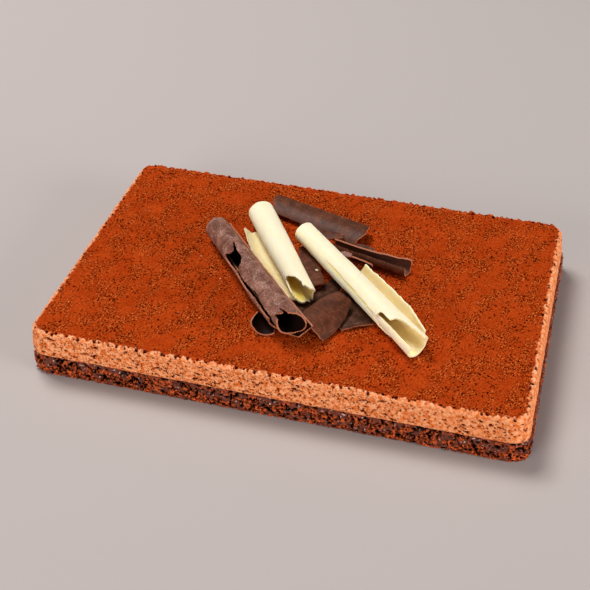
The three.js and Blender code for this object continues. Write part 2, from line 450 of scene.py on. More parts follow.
@dataclass(frozen=True)
class AeratedMousse(Finish):
    """Set chocolate mousse: pale, matt and a little fatty, with dark bubbles and stray cocoa on its rim.

    Its bubbles and the fine flecks that stand for small bubbles are painted dark, as painted shade,
    and its tufts and fine ribs paler, as painted highlights. Its fine flecks thin out along the cake,
    between the two places of thinning, to the share thinned.
    """

    body: str = "dc6a28"
    pale: str = "faa672"
    # The tufts' tone is a painted highlight; the flecks' tone and the holes' tone are painted shade
    tuft_highlight: str = "ffc69a"
    fleck_shade: str = "600e00"
    hole: str = "500900"
    mottle: float = 2.4
    fleck: float = 1.05
    thinning: Range = (0.0, 130.0)
    thinned: float = 0.3
    depth: float = 0.4

    def paint(self, tree: Tree) -> dict[str, object]:
        """Mottles the mousse, flecks it with fine bubbles, dusts its rim and darkens its pits.

        Args:
            tree: the material's node tree.

        Returns:
            What goes into the shader's colour and normal.
        """
        place = add_node(tree, "TexCoord", {}).outputs["Object"]
        sockets = {"Vector": place, "Scale": per_metre(self.mottle), "Detail": 3.0}
        mottles = add_node(tree, "TexNoise", sockets)
        paler = add_node(tree, "MapRange", {"Value": mottles, "From Min": 0.38, "From Max": 0.62})
        sockets = {"Vector": place, "Scale": per_metre(self.fleck), "Detail": 2.0, "Roughness": 0.6}
        flecks = add_node(tree, "TexNoise", sockets)
        # Fine bubbles painted as dark flecks: painted shade
        sockets = {"Value": flecks, "From Min": 0.36, "From Max": 0.42, "To Min": 1.0, "To Max": 0.0}
        dense = add_node(tree, "MapRange", sockets, **SMOOTH)
        along = add_node(tree, "SeparateXYZ", {"Vector": place})
        left, right = (end * MM for end in self.thinning)
        sockets = {"Value": along, "From Min": left, "From Max": right, "To Min": 1.0, "To Max": self.thinned}
        airy = add_node(tree, "MapRange", sockets, **SMOOTH)
        fine = add_node(tree, "Math", {0: dense, 1: airy}, operation="MULTIPLY")
        # Painted highlights on the fine ribs between the flecks
        sockets = {"Value": flecks, "From Min": 0.56, "From Max": 0.68, "To Max": 0.6}
        rib_highlights = add_node(tree, "MapRange", sockets, **SMOOTH)
        tufts, dust, pits = (
            add_node(tree, "Attribute", {}, attribute_name=name) for name in ("tuft_highlight", "dust", "pit_shade")
        )
        powder, level = COCOA.powder(tree, place)
        coats = (
            (paler, self.pale),
            (fine, self.fleck_shade),
            (rib_highlights, self.tuft_highlight),
            (tufts, self.tuft_highlight),
            (dust, powder),
            (pits, self.hole),
        )
        height = add_node(tree, "Math", {0: level, 1: dust, 2: flecks}, operation="MULTIPLY_ADD")
        relief = add_node(tree, "Bump", {"Strength": 0.8, "Distance": self.depth * MM, "Height": height})
        return {"Base Color": lay_tones(tree, self.body, coats), "Normal": relief}


@dataclass(frozen=True)
class FlourlessSponge(Finish):
    """Dense baked chocolate sponge: dark brown crumb, red-brown crumbs with a painted glow as if lit, holes
    in black painted shade, moist smears with painted glints.
    """

    body: str = "e46c40"
    dark: str = "300d06"
    painted_glow: str = "ff6c2c"
    smear: str = "6a372b"
    painted_glint: str = "f4d0bc"
    # hole is painted shade in the holes and the gaps between the crumbs
    hole: str = "030000"
    crumb: float = 1.0
    streak: float = 1.6
    moist_roughness: float = 0.4

    def paint(self, tree: Tree) -> dict[str, object]:
        """Gives each crumb its own tone, paints a glow on some crumbs as if lit and glints on the moist
        smears, evens the moist smears and paints the holes black as shade.

        Args:
            tree: the material's node tree.

        Returns:
            What goes into the shader's colour and roughness.
        """
        place = add_node(tree, "TexCoord", {}).outputs["Object"]
        crumbs = add_node(tree, "TexVoronoi", {"Vector": place, "Scale": per_metre(self.crumb)})
        lot = add_node(tree, "SeparateColor", {"Color": crumbs.outputs["Color"]})
        lit = add_node(tree, "MapRange", {"Value": lot.outputs["Green"], "From Min": 0.7, "From Max": 0.8})
        # Painted glints of light on the moist smears
        sockets = {"Vector": place, "Scale": per_metre(self.streak), "Detail": 2.0}
        streaks = add_node(tree, "TexNoise", sockets)
        sockets = {"Value": streaks, "From Min": 0.61, "From Max": 0.72, "To Max": 0.8}
        pale = add_node(tree, "MapRange", sockets, **SMOOTH)
        smears, painted_glow_share, pits = (
            add_node(tree, "Attribute", {}, attribute_name=name) for name in ("smear", "painted_glow", "pit_shade")
        )
        # Painted glow on the lit crumbs
        glow = add_node(tree, "Math", {0: lit, 1: painted_glow_share}, operation="MULTIPLY")
        shine = add_node(tree, "Math", {0: pale, 1: smears}, operation="MULTIPLY")
        coats = (
            (lot, self.body),
            (smears, self.smear),
            (shine, self.painted_glint),
            (glow, self.painted_glow),
            (pits, self.hole),
        )
        sockets = {"Value": smears, "To Min": self.roughness, "To Max": self.moist_roughness}
        roughness = add_node(tree, "MapRange", sockets)
        return {"Base Color": lay_tones(tree, self.dark, coats), "Roughness": roughness}


@dataclass(frozen=True)
class ShavedChocolate(Finish):
    """Chocolate shaved off a slab: satin, scraped round, with bloom and hair scratches on its outer side.

    White chocolate is milky too: light soaks into it and shines through where it is thin. Its inner side, its
    deeper turns and its cracks are painted darker, as painted shade, and on white chocolate golden, as a
    painted glow.
    """

    gloss: float = 0.13
    body: str = "6a3924"
    shade: str = "4a291b"
    bloom: str = "bc8c78"
    # inside is painted on the inner side, deep in the deeper turns and cracks: painted shade, and on white
    # chocolate a painted glow
    inside: str = "5c3426"
    deep: str = "4a281c"
    cloud: float = 5.0
    speck: float = 0.8
    groove: float = 0.9
    crack: float = 13.0
    bloom_from: float = 0.61
    bloom_most: float = 0.42
    scratched: float = 0.15
    depth: float = 0.14
    milky: float = 0.0
    soak: float = 1.2
    soak_tint: Point = (1.0, 0.97, 0.45)

    ior: float = 1.46  # of cocoa butter

    def paint(self, tree: Tree) -> dict[str, object]:
        """Clouds and scrapes the chocolate and lays specks of bloom and scratches on its outer side.

        Args:
            tree: the material's node tree.

        Returns:
            What goes into the shader's colour, normal and milkiness.
        """
        sheet = add_node(tree, "Attribute", {}, attribute_name="sheet").outputs["Vector"]
        outer, turns, crack = (
            add_node(tree, "Attribute", {}, attribute_name=name) for name in ("outer", "turns", "crack")
        )
        clouds, specks = (
            add_node(tree, "TexNoise", {"Vector": sheet, "Scale": per_metre(size), "Detail": 3.0})
            for size in (self.cloud, self.speck)
        )
        round_it = add_node(tree, "Mapping", {"Vector": sheet, "Scale": (0.06, 1.0, 1.0)})
        sockets = {"Vector": round_it, "Scale": per_metre(self.groove), "Detail": 1.0}
        grooves = add_node(tree, "TexNoise", sockets)
        scraped = add_node(tree, "Math", {0: grooves, 1: 0.5, 2: clouds}, operation="MULTIPLY_ADD")
        uneven = add_node(tree, "MapRange", {"Value": scraped, "From Min": 0.56, "From Max": 0.94})
        marks = add_node(tree, "Math", {0: clouds, 1: 0.4, 2: specks}, operation="MULTIPLY_ADD")
        low, high = self.bloom_from + 0.2, self.bloom_from + 0.38
        sockets = {"Value": marks, "From Min": low, "From Max": high, "To Max": self.bloom_most}
        bloomed = add_node(tree, "MapRange", sockets, **SMOOTH)
        sockets = {"Vector": sheet, "Scale": per_metre(self.crack)}
        lines = add_node(tree, "TexVoronoi", sockets, feature="DISTANCE_TO_EDGE")
        sockets = {"Value": lines, "From Max": 0.03, "To Min": self.scratched, "To Max": 0.0}
        hair = add_node(tree, "MapRange", sockets, **SMOOTH)
        broken = add_node(tree, "MapRange", {"Value": specks, "From Min": 0.46, "From Max": 0.56}, **SMOOTH)
        scratch = add_node(tree, "Math", {0: hair, 1: broken}, operation="MULTIPLY")
        paled = add_node(tree, "Math", {0: bloomed, 1: scratch}, operation="MAXIMUM")
        # Painted shade, and on white chocolate a painted glow, on the inner side, in the deeper turns and
        # along cracks
        inner = add_node(tree, "Math", {0: 1.0, 1: outer}, operation="SUBTRACT")
        wound = add_node(tree, "MapRange", {"Value": turns, "From Min": 0.25, "From Max": 0.7}, **SMOOTH)
        hollow = add_node(tree, "Math", {0: inner, 1: wound, 2: crack}, operation="MULTIPLY_ADD")
        coats = (
            (uneven, self.body),
            (paled, self.bloom),
            (inner, self.inside),
            (hollow, self.deep),
        )
        height = add_node(tree, "Math", {0: grooves, 1: 0.8, 2: marks}, operation="MULTIPLY_ADD")
        relief = add_node(tree, "Bump", {"Strength": 0.35, "Distance": self.depth * MM, "Height": height})
        return {
            "Base Color": lay_tones(tree, self.shade, coats),
            "Normal": relief,
            "IOR": self.ior,
            "Subsurface Weight": self.milky,
            "Subsurface Radius": self.soak_tint,
            "Subsurface Scale": self.soak * MM,
        }


@dataclass(frozen=True)
class BrokenChocolate(Finish):
    """Chocolate where it snapped: matt and paler than the shaved face.

    Its grain is drawn coarser than it is, so that it shows.
    """

    body: str = "cc7c54"
    shade: str = "94543a"
    grit: float = 0.8

    def paint(self, tree: Tree) -> dict[str, object]:
        """Mixes the two shades in a fine grain.

        Args:
            tree: the material's node tree.

        Returns:
            What goes into the shader's colour.
        """
        place = add_node(tree, "TexCoord", {}).outputs["Object"]
        grits = add_node(tree, "TexNoise", {"Vector": place, "Scale": per_metre(self.grit), "Detail": 2.0})
        sockets = {FACTOR: grits, COLOUR_A: self.shade, COLOUR_B: self.body}
        return {"Base Color": add_node(tree, "Mix", sockets, data_type="RGBA")}


@dataclass(frozen=True)
class FloorPaint(Finish):
    """Matt pale grey studio floor."""

    colour: str = "b9afab"

    def paint(self, tree: Tree) -> dict[str, object]:
        """Gives the floor its even grey."""
        return {"Base Color": self.colour}


COCOA = CocoaPowder("cocoa_powder", 1.0, 0.0)
MOUSSE = AeratedMousse("aerated_chocolate_mousse", 0.85, 0.02)
SPONGE = FlourlessSponge("flourless_sponge", 0.85, 0.03)
DARK_FACE = ShavedChocolate("dark_chocolate_shaved", 0.45)
# A darker copy for shards that lie in shade: painted shade
DARK_SHADED = ShavedChocolate("dark_chocolate_shaded", 0.45, 0.1, body="503020", shade="321a0e")
# Its inner side and deeper turns are painted nearly black, as painted shade
DARK_BLOOMED = ShavedChocolate(
    "dark_chocolate_bloomed",
    0.5,
    body="90604f",
    shade="623a2d",
    bloom="d4b8ac",
    inside="1a0a05",
    deep="1a0a05",
    cloud=7.0,
    bloom_from=0.55,
    bloom_most=0.55,
    scratched=0.45,
)
DARK_BREAK = BrokenChocolate("dark_chocolate_broken", 0.7)
# Its inner side and deeper turns are painted golden, a painted glow of light shining through the thin
# chocolate
WHITE_FACE = ShavedChocolate(
    "white_chocolate_shaved",
    0.45,
    0.2,
    body="ffebcc",
    shade="ffe8c4",
    bloom="fff2e0",
    inside="ffe8b6",
    deep="ffe080",
    scratched=0.0,
    milky=0.8,
)
WHITE_BREAK = BrokenChocolate("white_chocolate_broken", 0.6, body="fff2cc", shade="f6e4ac")
SPONGE_CRUMB = BrokenChocolate("sponge_crumb", 0.8, body="c4541e", shade="542010", grit=1.6)
FLOOR = FloorPaint("studio_floor", 0.9, 0.1)


class Chocolate(Enum):
    """The two chocolates of the curls, named as the record's slots."""

    DARK = "dark_chocolate"
    WHITE = "white_chocolate"


# Layers


@dataclass(frozen=True)
class Outline:
    """Rounded rectangle that a layer follows, walked anticlockwise from the front left."""

    length: float
    width: float
    radius: float
    centre: tuple[float, float]

    @property
    def inner(self) -> tuple[float, float]:
        """Half sizes of the rectangle that joins the corners' middles."""
        return self.length / 2.0 - self.radius, self.width / 2.0 - self.radius

    @property
    def perimeter(self) -> float:
        """Length of the whole walk."""
        x, y = self.inner
        return 4.0 * (x + y) + 2.0 * math.pi * self.radius

    def at(self, walked: np.ndarray) -> tuple[np.ndarray, np.ndarray]:
        """Gives places on the outline.

        Args:
            walked: how far round each place is.

        Returns:
            The plan point and the outward direction at each place.
        """
        x, y = self.inner
        walked = np.mod(walked, self.perimeter)
        points = np.zeros((len(walked), 2))
        outward = np.zeros((len(walked), 2))
        passed = 0.0
        for turn, corner in enumerate(((x, -y), (x, y), (-x, y), (-x, -y))):
            straight = 2.0 * (x, y)[turn % 2]
            ahead = walked - passed
            here = ahead >= 0.0
            facing = math.radians(90.0 * (turn - 1))
            tangent = np.array((-math.sin(facing), math.cos(facing)))
            angle = facing + np.maximum(ahead[here] - straight, 0.0) / self.radius
            outward[here] = np.column_stack((np.cos(angle), np.sin(angle)))
            short = np.maximum(straight - ahead[here], 0.0)[:, None]
            points[here] = np.array(corner) + self.radius * outward[here] - short * tangent
            passed += straight + math.pi * self.radius / 2.0
        return points + np.array(self.centre), outward

    def locate(self, plan: np.ndarray) -> tuple[np.ndarray, np.ndarray]:
        """Finds where plan points lie against the outline.

        Args:
            plan: one row of x and y for each point.

        Returns:
            How far round the nearest place is, and how far inside the outline the point lies.
        """
        x, y = self.inner
        spot = plan - np.array(self.centre)
        reach = np.abs(spot) - np.array((x, y))
        in_corner = np.all(reach > 0.0, axis=1)
        inset = np.where(in_corner, self.radius - np.hypot(*reach.T), self.radius - reach.max(axis=1))
        along_x = reach[:, 0] < reach[:, 1]
        quarter = math.pi * self.radius / 2.0
        legs = np.cumsum((0.0, 2.0 * x + quarter, 2.0 * y + quarter, 2.0 * x + quarter))
        front, right = spot[:, 1] < 0.0, spot[:, 0] > 0.0
        walked = np.where(
            along_x,
            np.where(front, spot[:, 0] + x, legs[2] + x - spot[:, 0]),
            np.where(right, legs[1] + spot[:, 1] + y, legs[3] + y - spot[:, 1]),
        )
        angle = np.arctan2(np.abs(spot[:, 1]) - y, np.abs(spot[:, 0]) - x)
        turned = self.radius * np.where(front == right, RIGHT_ANGLE - angle, angle)
        corner = np.where(front, np.where(right, 0, 3), np.where(right, 1, 2))
        ends = np.array((2.0 * x, 2.0 * y, 2.0 * x, 2.0 * y)) + legs
        return np.where(in_corner, ends[corner] + turned, walked), inset


@dataclass(frozen=True)
class Dents:
    """A scatter of bubbles or holes on a wall: how many to a square centimetre, their size and tilt."""

    per_cm2: float
    width: Range
    height: Range
    depth: Range
    tilt: float


@dataclass
class Wall:
    """A layer's wall as a grid: rings of points round the outline, from the bottom row up."""

    outline: Outline
    insets: np.ndarray
    heights: np.ndarray
    facing: np.ndarray
    lean: np.ndarray
    step: float

    def __post_init__(self) -> None:
        """Sets out the points of one ring."""
        self.count = int(round(self.outline.perimeter / self.step))
        self.walked = np.arange(self.count) * self.outline.perimeter / self.count
        self.plan, self.outward = self.outline.at(self.walked)
        self.shape = (len(self.heights), self.count)

    def points(self, relief: np.ndarray, lift: np.ndarray | float = 0.0) -> np.ndarray:
        """Places every vertex.

        Args:
            relief: how far each point of each row stands out.
            lift: how far each point is raised.

        Returns:
            One row of x, y and z for each vertex, ring by ring.
        """
        flat = np.cos(self.facing)[:, None] * relief - self.insets[:, None]
        spread = self.plan[None] + flat[:, :, None] * self.outward[None]
        spread[:, :, 0] += self.lean[:, None] * self.outward[None, :, 0]
        rise = self.heights[:, None] + np.sin(self.facing)[:, None] * relief + lift
        return np.concatenate((spread, rise[:, :, None]), axis=2).reshape(-1, 3)

    def dent(self, kinds: Sequence[Dents], rng: np.random.Generator, low: float, high: float) -> np.ndarray:
        """Presses scatters of dents.

        Args:
            kinds: the density and sizes of each scatter.
            rng: the seeded source of their places.
            low: the lowest height of a dent's middle.
            high: the highest.

        Returns:
            The depth at each point of each row.
        """
        depth = np.zeros(self.shape)
        for dents in kinds:
            number = int(dents.per_cm2 * self.outline.perimeter * (high - low) / MM2_PER_CM2)
            for _ in range(number):
                centre = rng.uniform(0.0, self.outline.perimeter)
                self._press(depth, dents, rng, centre, rng.uniform(low, high))
        return depth

    def _press(
        self, depth: np.ndarray, dents: Dents, rng: np.random.Generator, centre: float, level: float
    ) -> None:
        """Presses one dent.

        Args:
            depth: the depth at each point of each row, which is changed.
            dents: the range of its sizes.
            rng: the seeded source of its size.
            centre: how far round its middle is.
            level: the height of its middle.
        """
        pace = self.outline.perimeter / self.count
        half_width = rng.uniform(*dents.width) / 2.0
        half_height = rng.uniform(*dents.height) / 2.0
        tilt = math.radians(rng.uniform(-dents.tilt, dents.tilt))
        deep = rng.uniform(*dents.depth)
        reach = max(half_width, half_height)
        rows = np.flatnonzero(np.abs(self.heights - level) <= reach)
        columns = np.arange(math.floor((centre - reach) / pace), math.ceil((centre + reach) / pace) + 1)
        across = (columns * pace - centre)[None, :]
        upward = (self.heights[rows] - level)[:, None]
        first = (across * math.cos(tilt) + upward * math.sin(tilt)) / half_width
        second = (upward * math.cos(tilt) - across * math.sin(tilt)) / half_height
        hollow = deep * np.sqrt(np.clip(1.0 - first**2 - second**2, 0.0, 1.0))
        place = np.ix_(rows, columns % self.count)
        depth[place] = np.maximum(depth[place], hollow)

    def build(self, name: str, points: np.ndarray) -> Piece:
        """Models the layer: a ring extruded row by row, closed at both ends, its points then placed.

        Args:
            name: the piece's name.
            points: one row of x, y and z for each vertex, ring by ring.

        Returns:
            The closed mesh object.
        """
        deselect_all()
        bpy.ops.mesh.primitive_circle_add(
            vertices=self.count, radius=1.0, fill_type="NOTHING", enter_editmode=True
        )
        for _ in self.heights[1:]:
            bpy.ops.mesh.extrude_region_move(TRANSFORM_OT_translate={"value": (0.0, 0.0, 1.0)})
        bpy.ops.mesh.select_all(action="SELECT")
        bpy.ops.mesh.fill_holes(sides=0)
        bpy.ops.mesh.normals_make_consistent(inside=False)
        bpy.ops.object.mode_set(mode="OBJECT")
        piece = bpy.context.object
        piece.name = name
        write_points(piece, points)
        bpy.ops.object.shade_smooth()
        return piece


@dataclass
class Rim:
    """Row of broken bubbles round the mousse's upper edge, with tufts left standing between them."""

    outline: Outline
    pitch: float = 4.6
    seed: int = 41

    jitter: float = 0.42  # how far a bubble strays, as a share of the pitch
    half_length: Range = (0.5, 1.4)  # half a bubble's width along the rim
    half_width: Range = (0.5, 1.3)  # half its width over the rim
    middles: Range = (-0.4, 1.5)  # how far inward its middle lies
    depths: Range = (0.9, 2.0)
    missing: float = 0.2  # share of the places that have no bubble

    def __post_init__(self) -> None:
        """Draws the bubbles' places and sizes."""
        rng = np.random.default_rng(self.seed)
        count = int(self.outline.perimeter / self.pitch)
        strayed = np.arange(count) + rng.uniform(-self.jitter, self.jitter, count)
        self.places = strayed * self.outline.perimeter / count
        self.across = rng.uniform(*self.half_length, count)
        self.inward = rng.uniform(*self.half_width, count)
        self.middle = rng.uniform(*self.middles, count)
        self.deep = rng.uniform(*self.depths, count) * (rng.random(count) > self.missing)

    def hollow(self, walked: np.ndarray, beyond: np.ndarray) -> np.ndarray:
        """Gives the bubbles' depth.

        Args:
            walked: how far round the outline each point is.
            beyond: how far inward over the edge it is, negative down the wall.

        Returns:
            The depth at each point.
        """
        depth = np.zeros(np.broadcast(walked, beyond).shape)
        whole = self.outline.perimeter
        after = np.searchsorted(self.places, walked)
        for index in (after - 1, after):
            index = index % len(self.places)
            gap = np.mod(walked - self.places[index] + whole / 2.0, whole) - whole / 2.0
            far = (gap / self.across[index]) ** 2
            far = far + ((beyond - self.middle[index]) / self.inward[index]) ** 2
            depth = np.maximum(depth, self.deep[index] * np.sqrt(np.clip(1.0 - far, 0.0, 1.0)))
        return depth


@dataclass
class Mousse:
    """The mousse: an upright bubbly wall, a rounded shoulder and a rim that meets the cocoa."""

    outline: Outline
    rim: Rim
    cocoa: Cocoa
    bottom: float
    top: float
    step: float = 0.5
    shoulder: float = 1.3
    foot_inset: float = 0.4
    foot_height: float = 2.5
    lean: float = 2.4
    margin: tuple[float, ...] = (0.5, 1.0, 1.5, 2.0, 2.5, 3.0, 3.5, 4.0)
    bubbles: tuple[Dents, ...] = (
        Dents(1.6, (1.6, 3.0), (1.0, 1.8), (0.9, 1.6), 35.0),
        Dents(0.4, (3.0, 5.5), (1.0, 1.6), (1.0, 1.6), 30.0),
        Dents(9.0, (0.9, 1.6), (0.8, 1.4), (0.5, 0.9), 80.0),
    )
    seed: int = 21

    waves: Layers = ((0.28, 11.0, 1), (0.16, 3.2, 2), (0.1, 1.3, 3))
    tufts: Layers = ((0.8, 2.6, 4), (0.45, 1.2, 7))
    settling: Layers = ((0.3, 7.0, 5),)
    drifts: Layers = ((0.9, 5.0, 6),)
    foot_clear: float = 0.8  # height of the foot that has no bubble's middle
    top_clear: float = 1.8  # depth of the upper edge that has none
    settled: float = 3.0  # height of the foot that has settled unevenly
    powdered: Range = (-1.0, 0.6)  # where the edge takes on the powder's lumps
    under: Range = (3.0, 4.0)  # where it dips under the cocoa
    dip: float = 0.4  # how deep it lies there
    crest: Range = (0.3, 1.2)  # middle and spread of the ridge of tufts
    crest_rise: float = 2.8  # how high the tufts stand
    crest_low: float = -0.2  # how low it dips between the tufts
    crest_least: float = 0.1  # its rise where there is no tuft
    dust_from: float = 0.9  # how far over the edge the dust begins
    dust_blur: float = 0.4  # half the width over which it begins
    dust_behind: float = 1.2  # how much farther down it reaches at the back
    dust_off_tufts: float = 1.6  # how much less of it lies on the tufts
    tuft_highlight_most: float = 0.45  # how much paler the tufts are painted at most, a painted highlight
    tuft_levels: Range = (0.05, 0.45)
    tuft_band: Range = (-0.2, 1.5)  # middle and spread of the band of tufts with the painted highlight
    bubble_shade: float = 2.0  # painted shade for each millimetre of a bubble's depth
    # painted shade for each millimetre of a rim bubble's depth
    rim_shade: float = 1.4

    def profile(self) -> tuple[np.ndarray, np.ndarray, np.ndarray, np.ndarray]:
        """Sets out the rows from the foot, up the wall and over the shoulder.

        Returns:
            Each row's inset, height, facing (0 outward, a right angle up) and place beyond the edge.
        """
        base = self.top - self.shoulder
        wall = np.linspace(self.bottom, base, int((base - self.bottom) / self.step) + 1)
        wall_inset = self.foot_inset * (1.0 - ease(self.bottom, self.bottom + self.foot_height, wall))
        arc = np.linspace(0.0, RIGHT_ANGLE, int(RIGHT_ANGLE * self.shoulder / self.step) + 2)[1:]
        flat = np.array(self.margin)
        insets = np.concatenate((wall_inset, self.shoulder * (1.0 - np.cos(arc)), self.shoulder + flat))
        heights = np.concatenate((wall, base + self.shoulder * np.sin(arc), np.full(len(flat), self.top)))
        facing = np.concatenate((np.zeros(len(wall)), arc, np.full(len(flat), RIGHT_ANGLE)))
        beyond = np.concatenate((wall - self.top, self.shoulder * (arc - RIGHT_ANGLE), flat))
        return insets, heights, facing, beyond

    def build(self) -> Piece:
        """Models the mousse with its bubbles, its rim and its stray cocoa.

        Returns:
            The finished mesh object.
        """
        rng = np.random.default_rng(self.seed)
        insets, heights, facing, beyond = self.profile()
        lean = self.lean * (self.top - heights) / (self.top - self.bottom)
        wall = Wall(self.outline, insets, heights, facing, lean, self.step)
        smooth = wall.points(np.zeros(wall.shape))
        waves, tufts, settling, drifts = (
            roughen(smooth, layers).reshape(wall.shape)
            for layers in (self.waves, self.tufts, self.settling, self.drifts)
        )
        pits = wall.dent(self.bubbles, rng, self.bottom + self.foot_clear, self.top - self.top_clear)
        edge = np.broadcast_to(beyond[:, None], wall.shape)
        hollow = self.rim.hollow(np.broadcast_to(wall.walked[None, :], wall.shape), edge)
        powder = self.cocoa.height(smooth[:, :2]).reshape(wall.shape) - self.top
        upper = ease(*self.powdered, edge)
        ridge = self.crest_rise * np.clip(tufts, self.crest_low, None) + self.crest_least
        crest = bell(*self.crest, edge) * ridge
        relief = waves * (1.0 - upper) + powder * upper - pits + crest - hollow
        hidden = ease(*self.under, edge)
        relief = relief * (1.0 - hidden) - self.dip * hidden
        low = 1.0 - ease(0.0, self.settled, heights - self.bottom)[:, None]
        piece = wall.build("cake_mousse", wall.points(relief, settling * low))
        behind = np.clip(wall.outward[None, :, 1], 0.0, 1.0)
        reach = edge - self.dust_from + self.dust_behind * behind - self.dust_off_tufts * tufts + drifts
        store(piece, "dust", ease(-self.dust_blur, self.dust_blur, reach))
        # Painted highlight on the tufts
        pale = self.tuft_highlight_most * ease(*self.tuft_levels, tufts) * bell(*self.tuft_band, edge)
        store(piece, "tuft_highlight", pale)
        # Painted shade in the bubbles and the broken rim bubbles
        dark = np.maximum(self.bubble_shade * pits, self.rim_shade * hollow)
        store(piece, "pit_shade", np.clip(dark, 0.0, 1.0))
        piece.data.materials.append(MOUSSE.material())
        return piece


@dataclass
class Sponge:
    """The sponge: a crumbly foot, a full middle and a moist upper band drawn in under the mousse."""

    outline: Outline
    height: float
    step: float = 0.5
    levels: tuple[float, ...] = (0.0, 4.0, 9.5, 14.2)
    insets: tuple[float, ...] = (0.9, 0.3, 0.7, 2.2)
    leans: tuple[float, ...] = (1.2, 1.6, 2.2, 2.8)
    holes: tuple[Dents, ...] = (
        Dents(7.5, (1.5, 4.0), (1.0, 2.2), (1.4, 2.6), 35.0),
        Dents(18.0, (0.8, 1.6), (0.8, 1.4), (0.8, 1.4), 60.0),
    )
    seed: int = 31

    lip: float = 3.0  # how far the top runs in under the mousse
    patches: Layers = ((1.0, 5.4, 11),)
    patch_squeeze: Point = (1.0, 1.0, 1.5)
    smeared: Range = (0.08, 0.2)  # levels of the patches between which a smear begins
    moist_depths: Range = (3.4, 1.6)  # depths below the top between which the moist band begins
    moist_waver: float = 0.9  # how far the patches shift that band
    moist_smear: float = 0.7
    coarse: tuple[float, int] = (3.0, 12)  # width and seed of the crumbs
    fine: tuple[float, int] = (1.4, 13)
    coarse_rise: float = 0.9
    fine_rise: float = 0.5
    grit: float = 0.1
    foot_clear: float = 0.8  # height of the foot that has no hole's middle
    top_clear: float = 0.6  # depth of the upper edge that has none
    smear_fills: float = 0.75  # share of a hole that a smear fills
    smear_evens: float = 0.7  # share of the crumbs' relief that it evens
    smear_rise: float = 0.3  # how far a smear stands out
    set_back: float = 0.3  # how far the crumbly wall lies behind its outline
    smear_dulls: float = 0.9  # share of the painted glow of the lit crumbs that it takes away
    lit_drop: float = 0.5  # share of that painted glow that is lost upwards
    lit_levels: Range = (2.0, 10.0)
    coarse_gap: float = 1.2  # how much shade is painted in the gaps between the coarse crumbs
    fine_gap: float = 0.9
    hole_shade: float = 3.2  # painted shade for each millimetre of depth
    gap_shade: float = 1.3

    def build(self) -> Piece:
        """Models the sponge with its crumbs, holes and moist smears.

        Returns:
            The finished mesh object.
        """
        rng = np.random.default_rng(self.seed)
        heights = np.linspace(0.0, self.height, int(self.height / self.step) + 1)
        heights = np.append(heights, self.height)
        insets = np.interp(heights, self.levels, self.insets)
        insets[-1] += self.lip
        lean = np.interp(heights, self.levels, self.leans)
        wall = Wall(self.outline, insets, heights, np.zeros(len(heights)), lean, self.step)
        smooth = wall.points(np.zeros(wall.shape))
        level = heights[:, None]
        patch = roughen(smooth * np.array(self.patch_squeeze), self.patches).reshape(wall.shape)
        band = (self.height - depth for depth in self.moist_depths)
        moist = ease(*band, level + self.moist_waver * patch)
        smear = np.maximum(ease(*self.smeared, patch), self.moist_smear * moist)
        coarse, fine = (crumble(smooth, *crumbs).reshape(wall.shape) for crumbs in (self.coarse, self.fine))
        holes = wall.dent(self.holes, rng, self.foot_clear, self.height - self.top_clear)
        holes *= 1.0 - self.smear_fills * smear
        grit = self.grit * rng.standard_normal(wall.shape)
        rough = self.coarse_rise * coarse + self.fine_rise * fine + grit
        relief = rough * (1.0 - self.smear_evens * smear) + self.smear_rise * smear - holes - self.set_back
        relief[-1] = 0.0
        piece = wall.build("cake_sponge", wall.points(relief))
        store(piece, "smear", smear)
        # Painted glow: some crumbs are painted bright as if lit, less of it higher up and on the smears
        lit = 1.0 - self.lit_drop * ease(*self.lit_levels, level)
        store(piece, "painted_glow", (1.0 - self.smear_dulls * smear) * lit)
        # Painted shade in the holes and the gaps between the crumbs
        gaps = self.fine_gap * np.clip(-fine, 0.0, 1.0) + self.coarse_gap * np.clip(-coarse, 0.0, 1.0)
        dark = self.hole_shade * holes + self.gap_shade * (gaps * (1.0 - smear))
        store(piece, "pit_shade", np.clip(dark, 0.0, 1.0))
        piece.data.materials.append(SPONGE.material())
        return piece


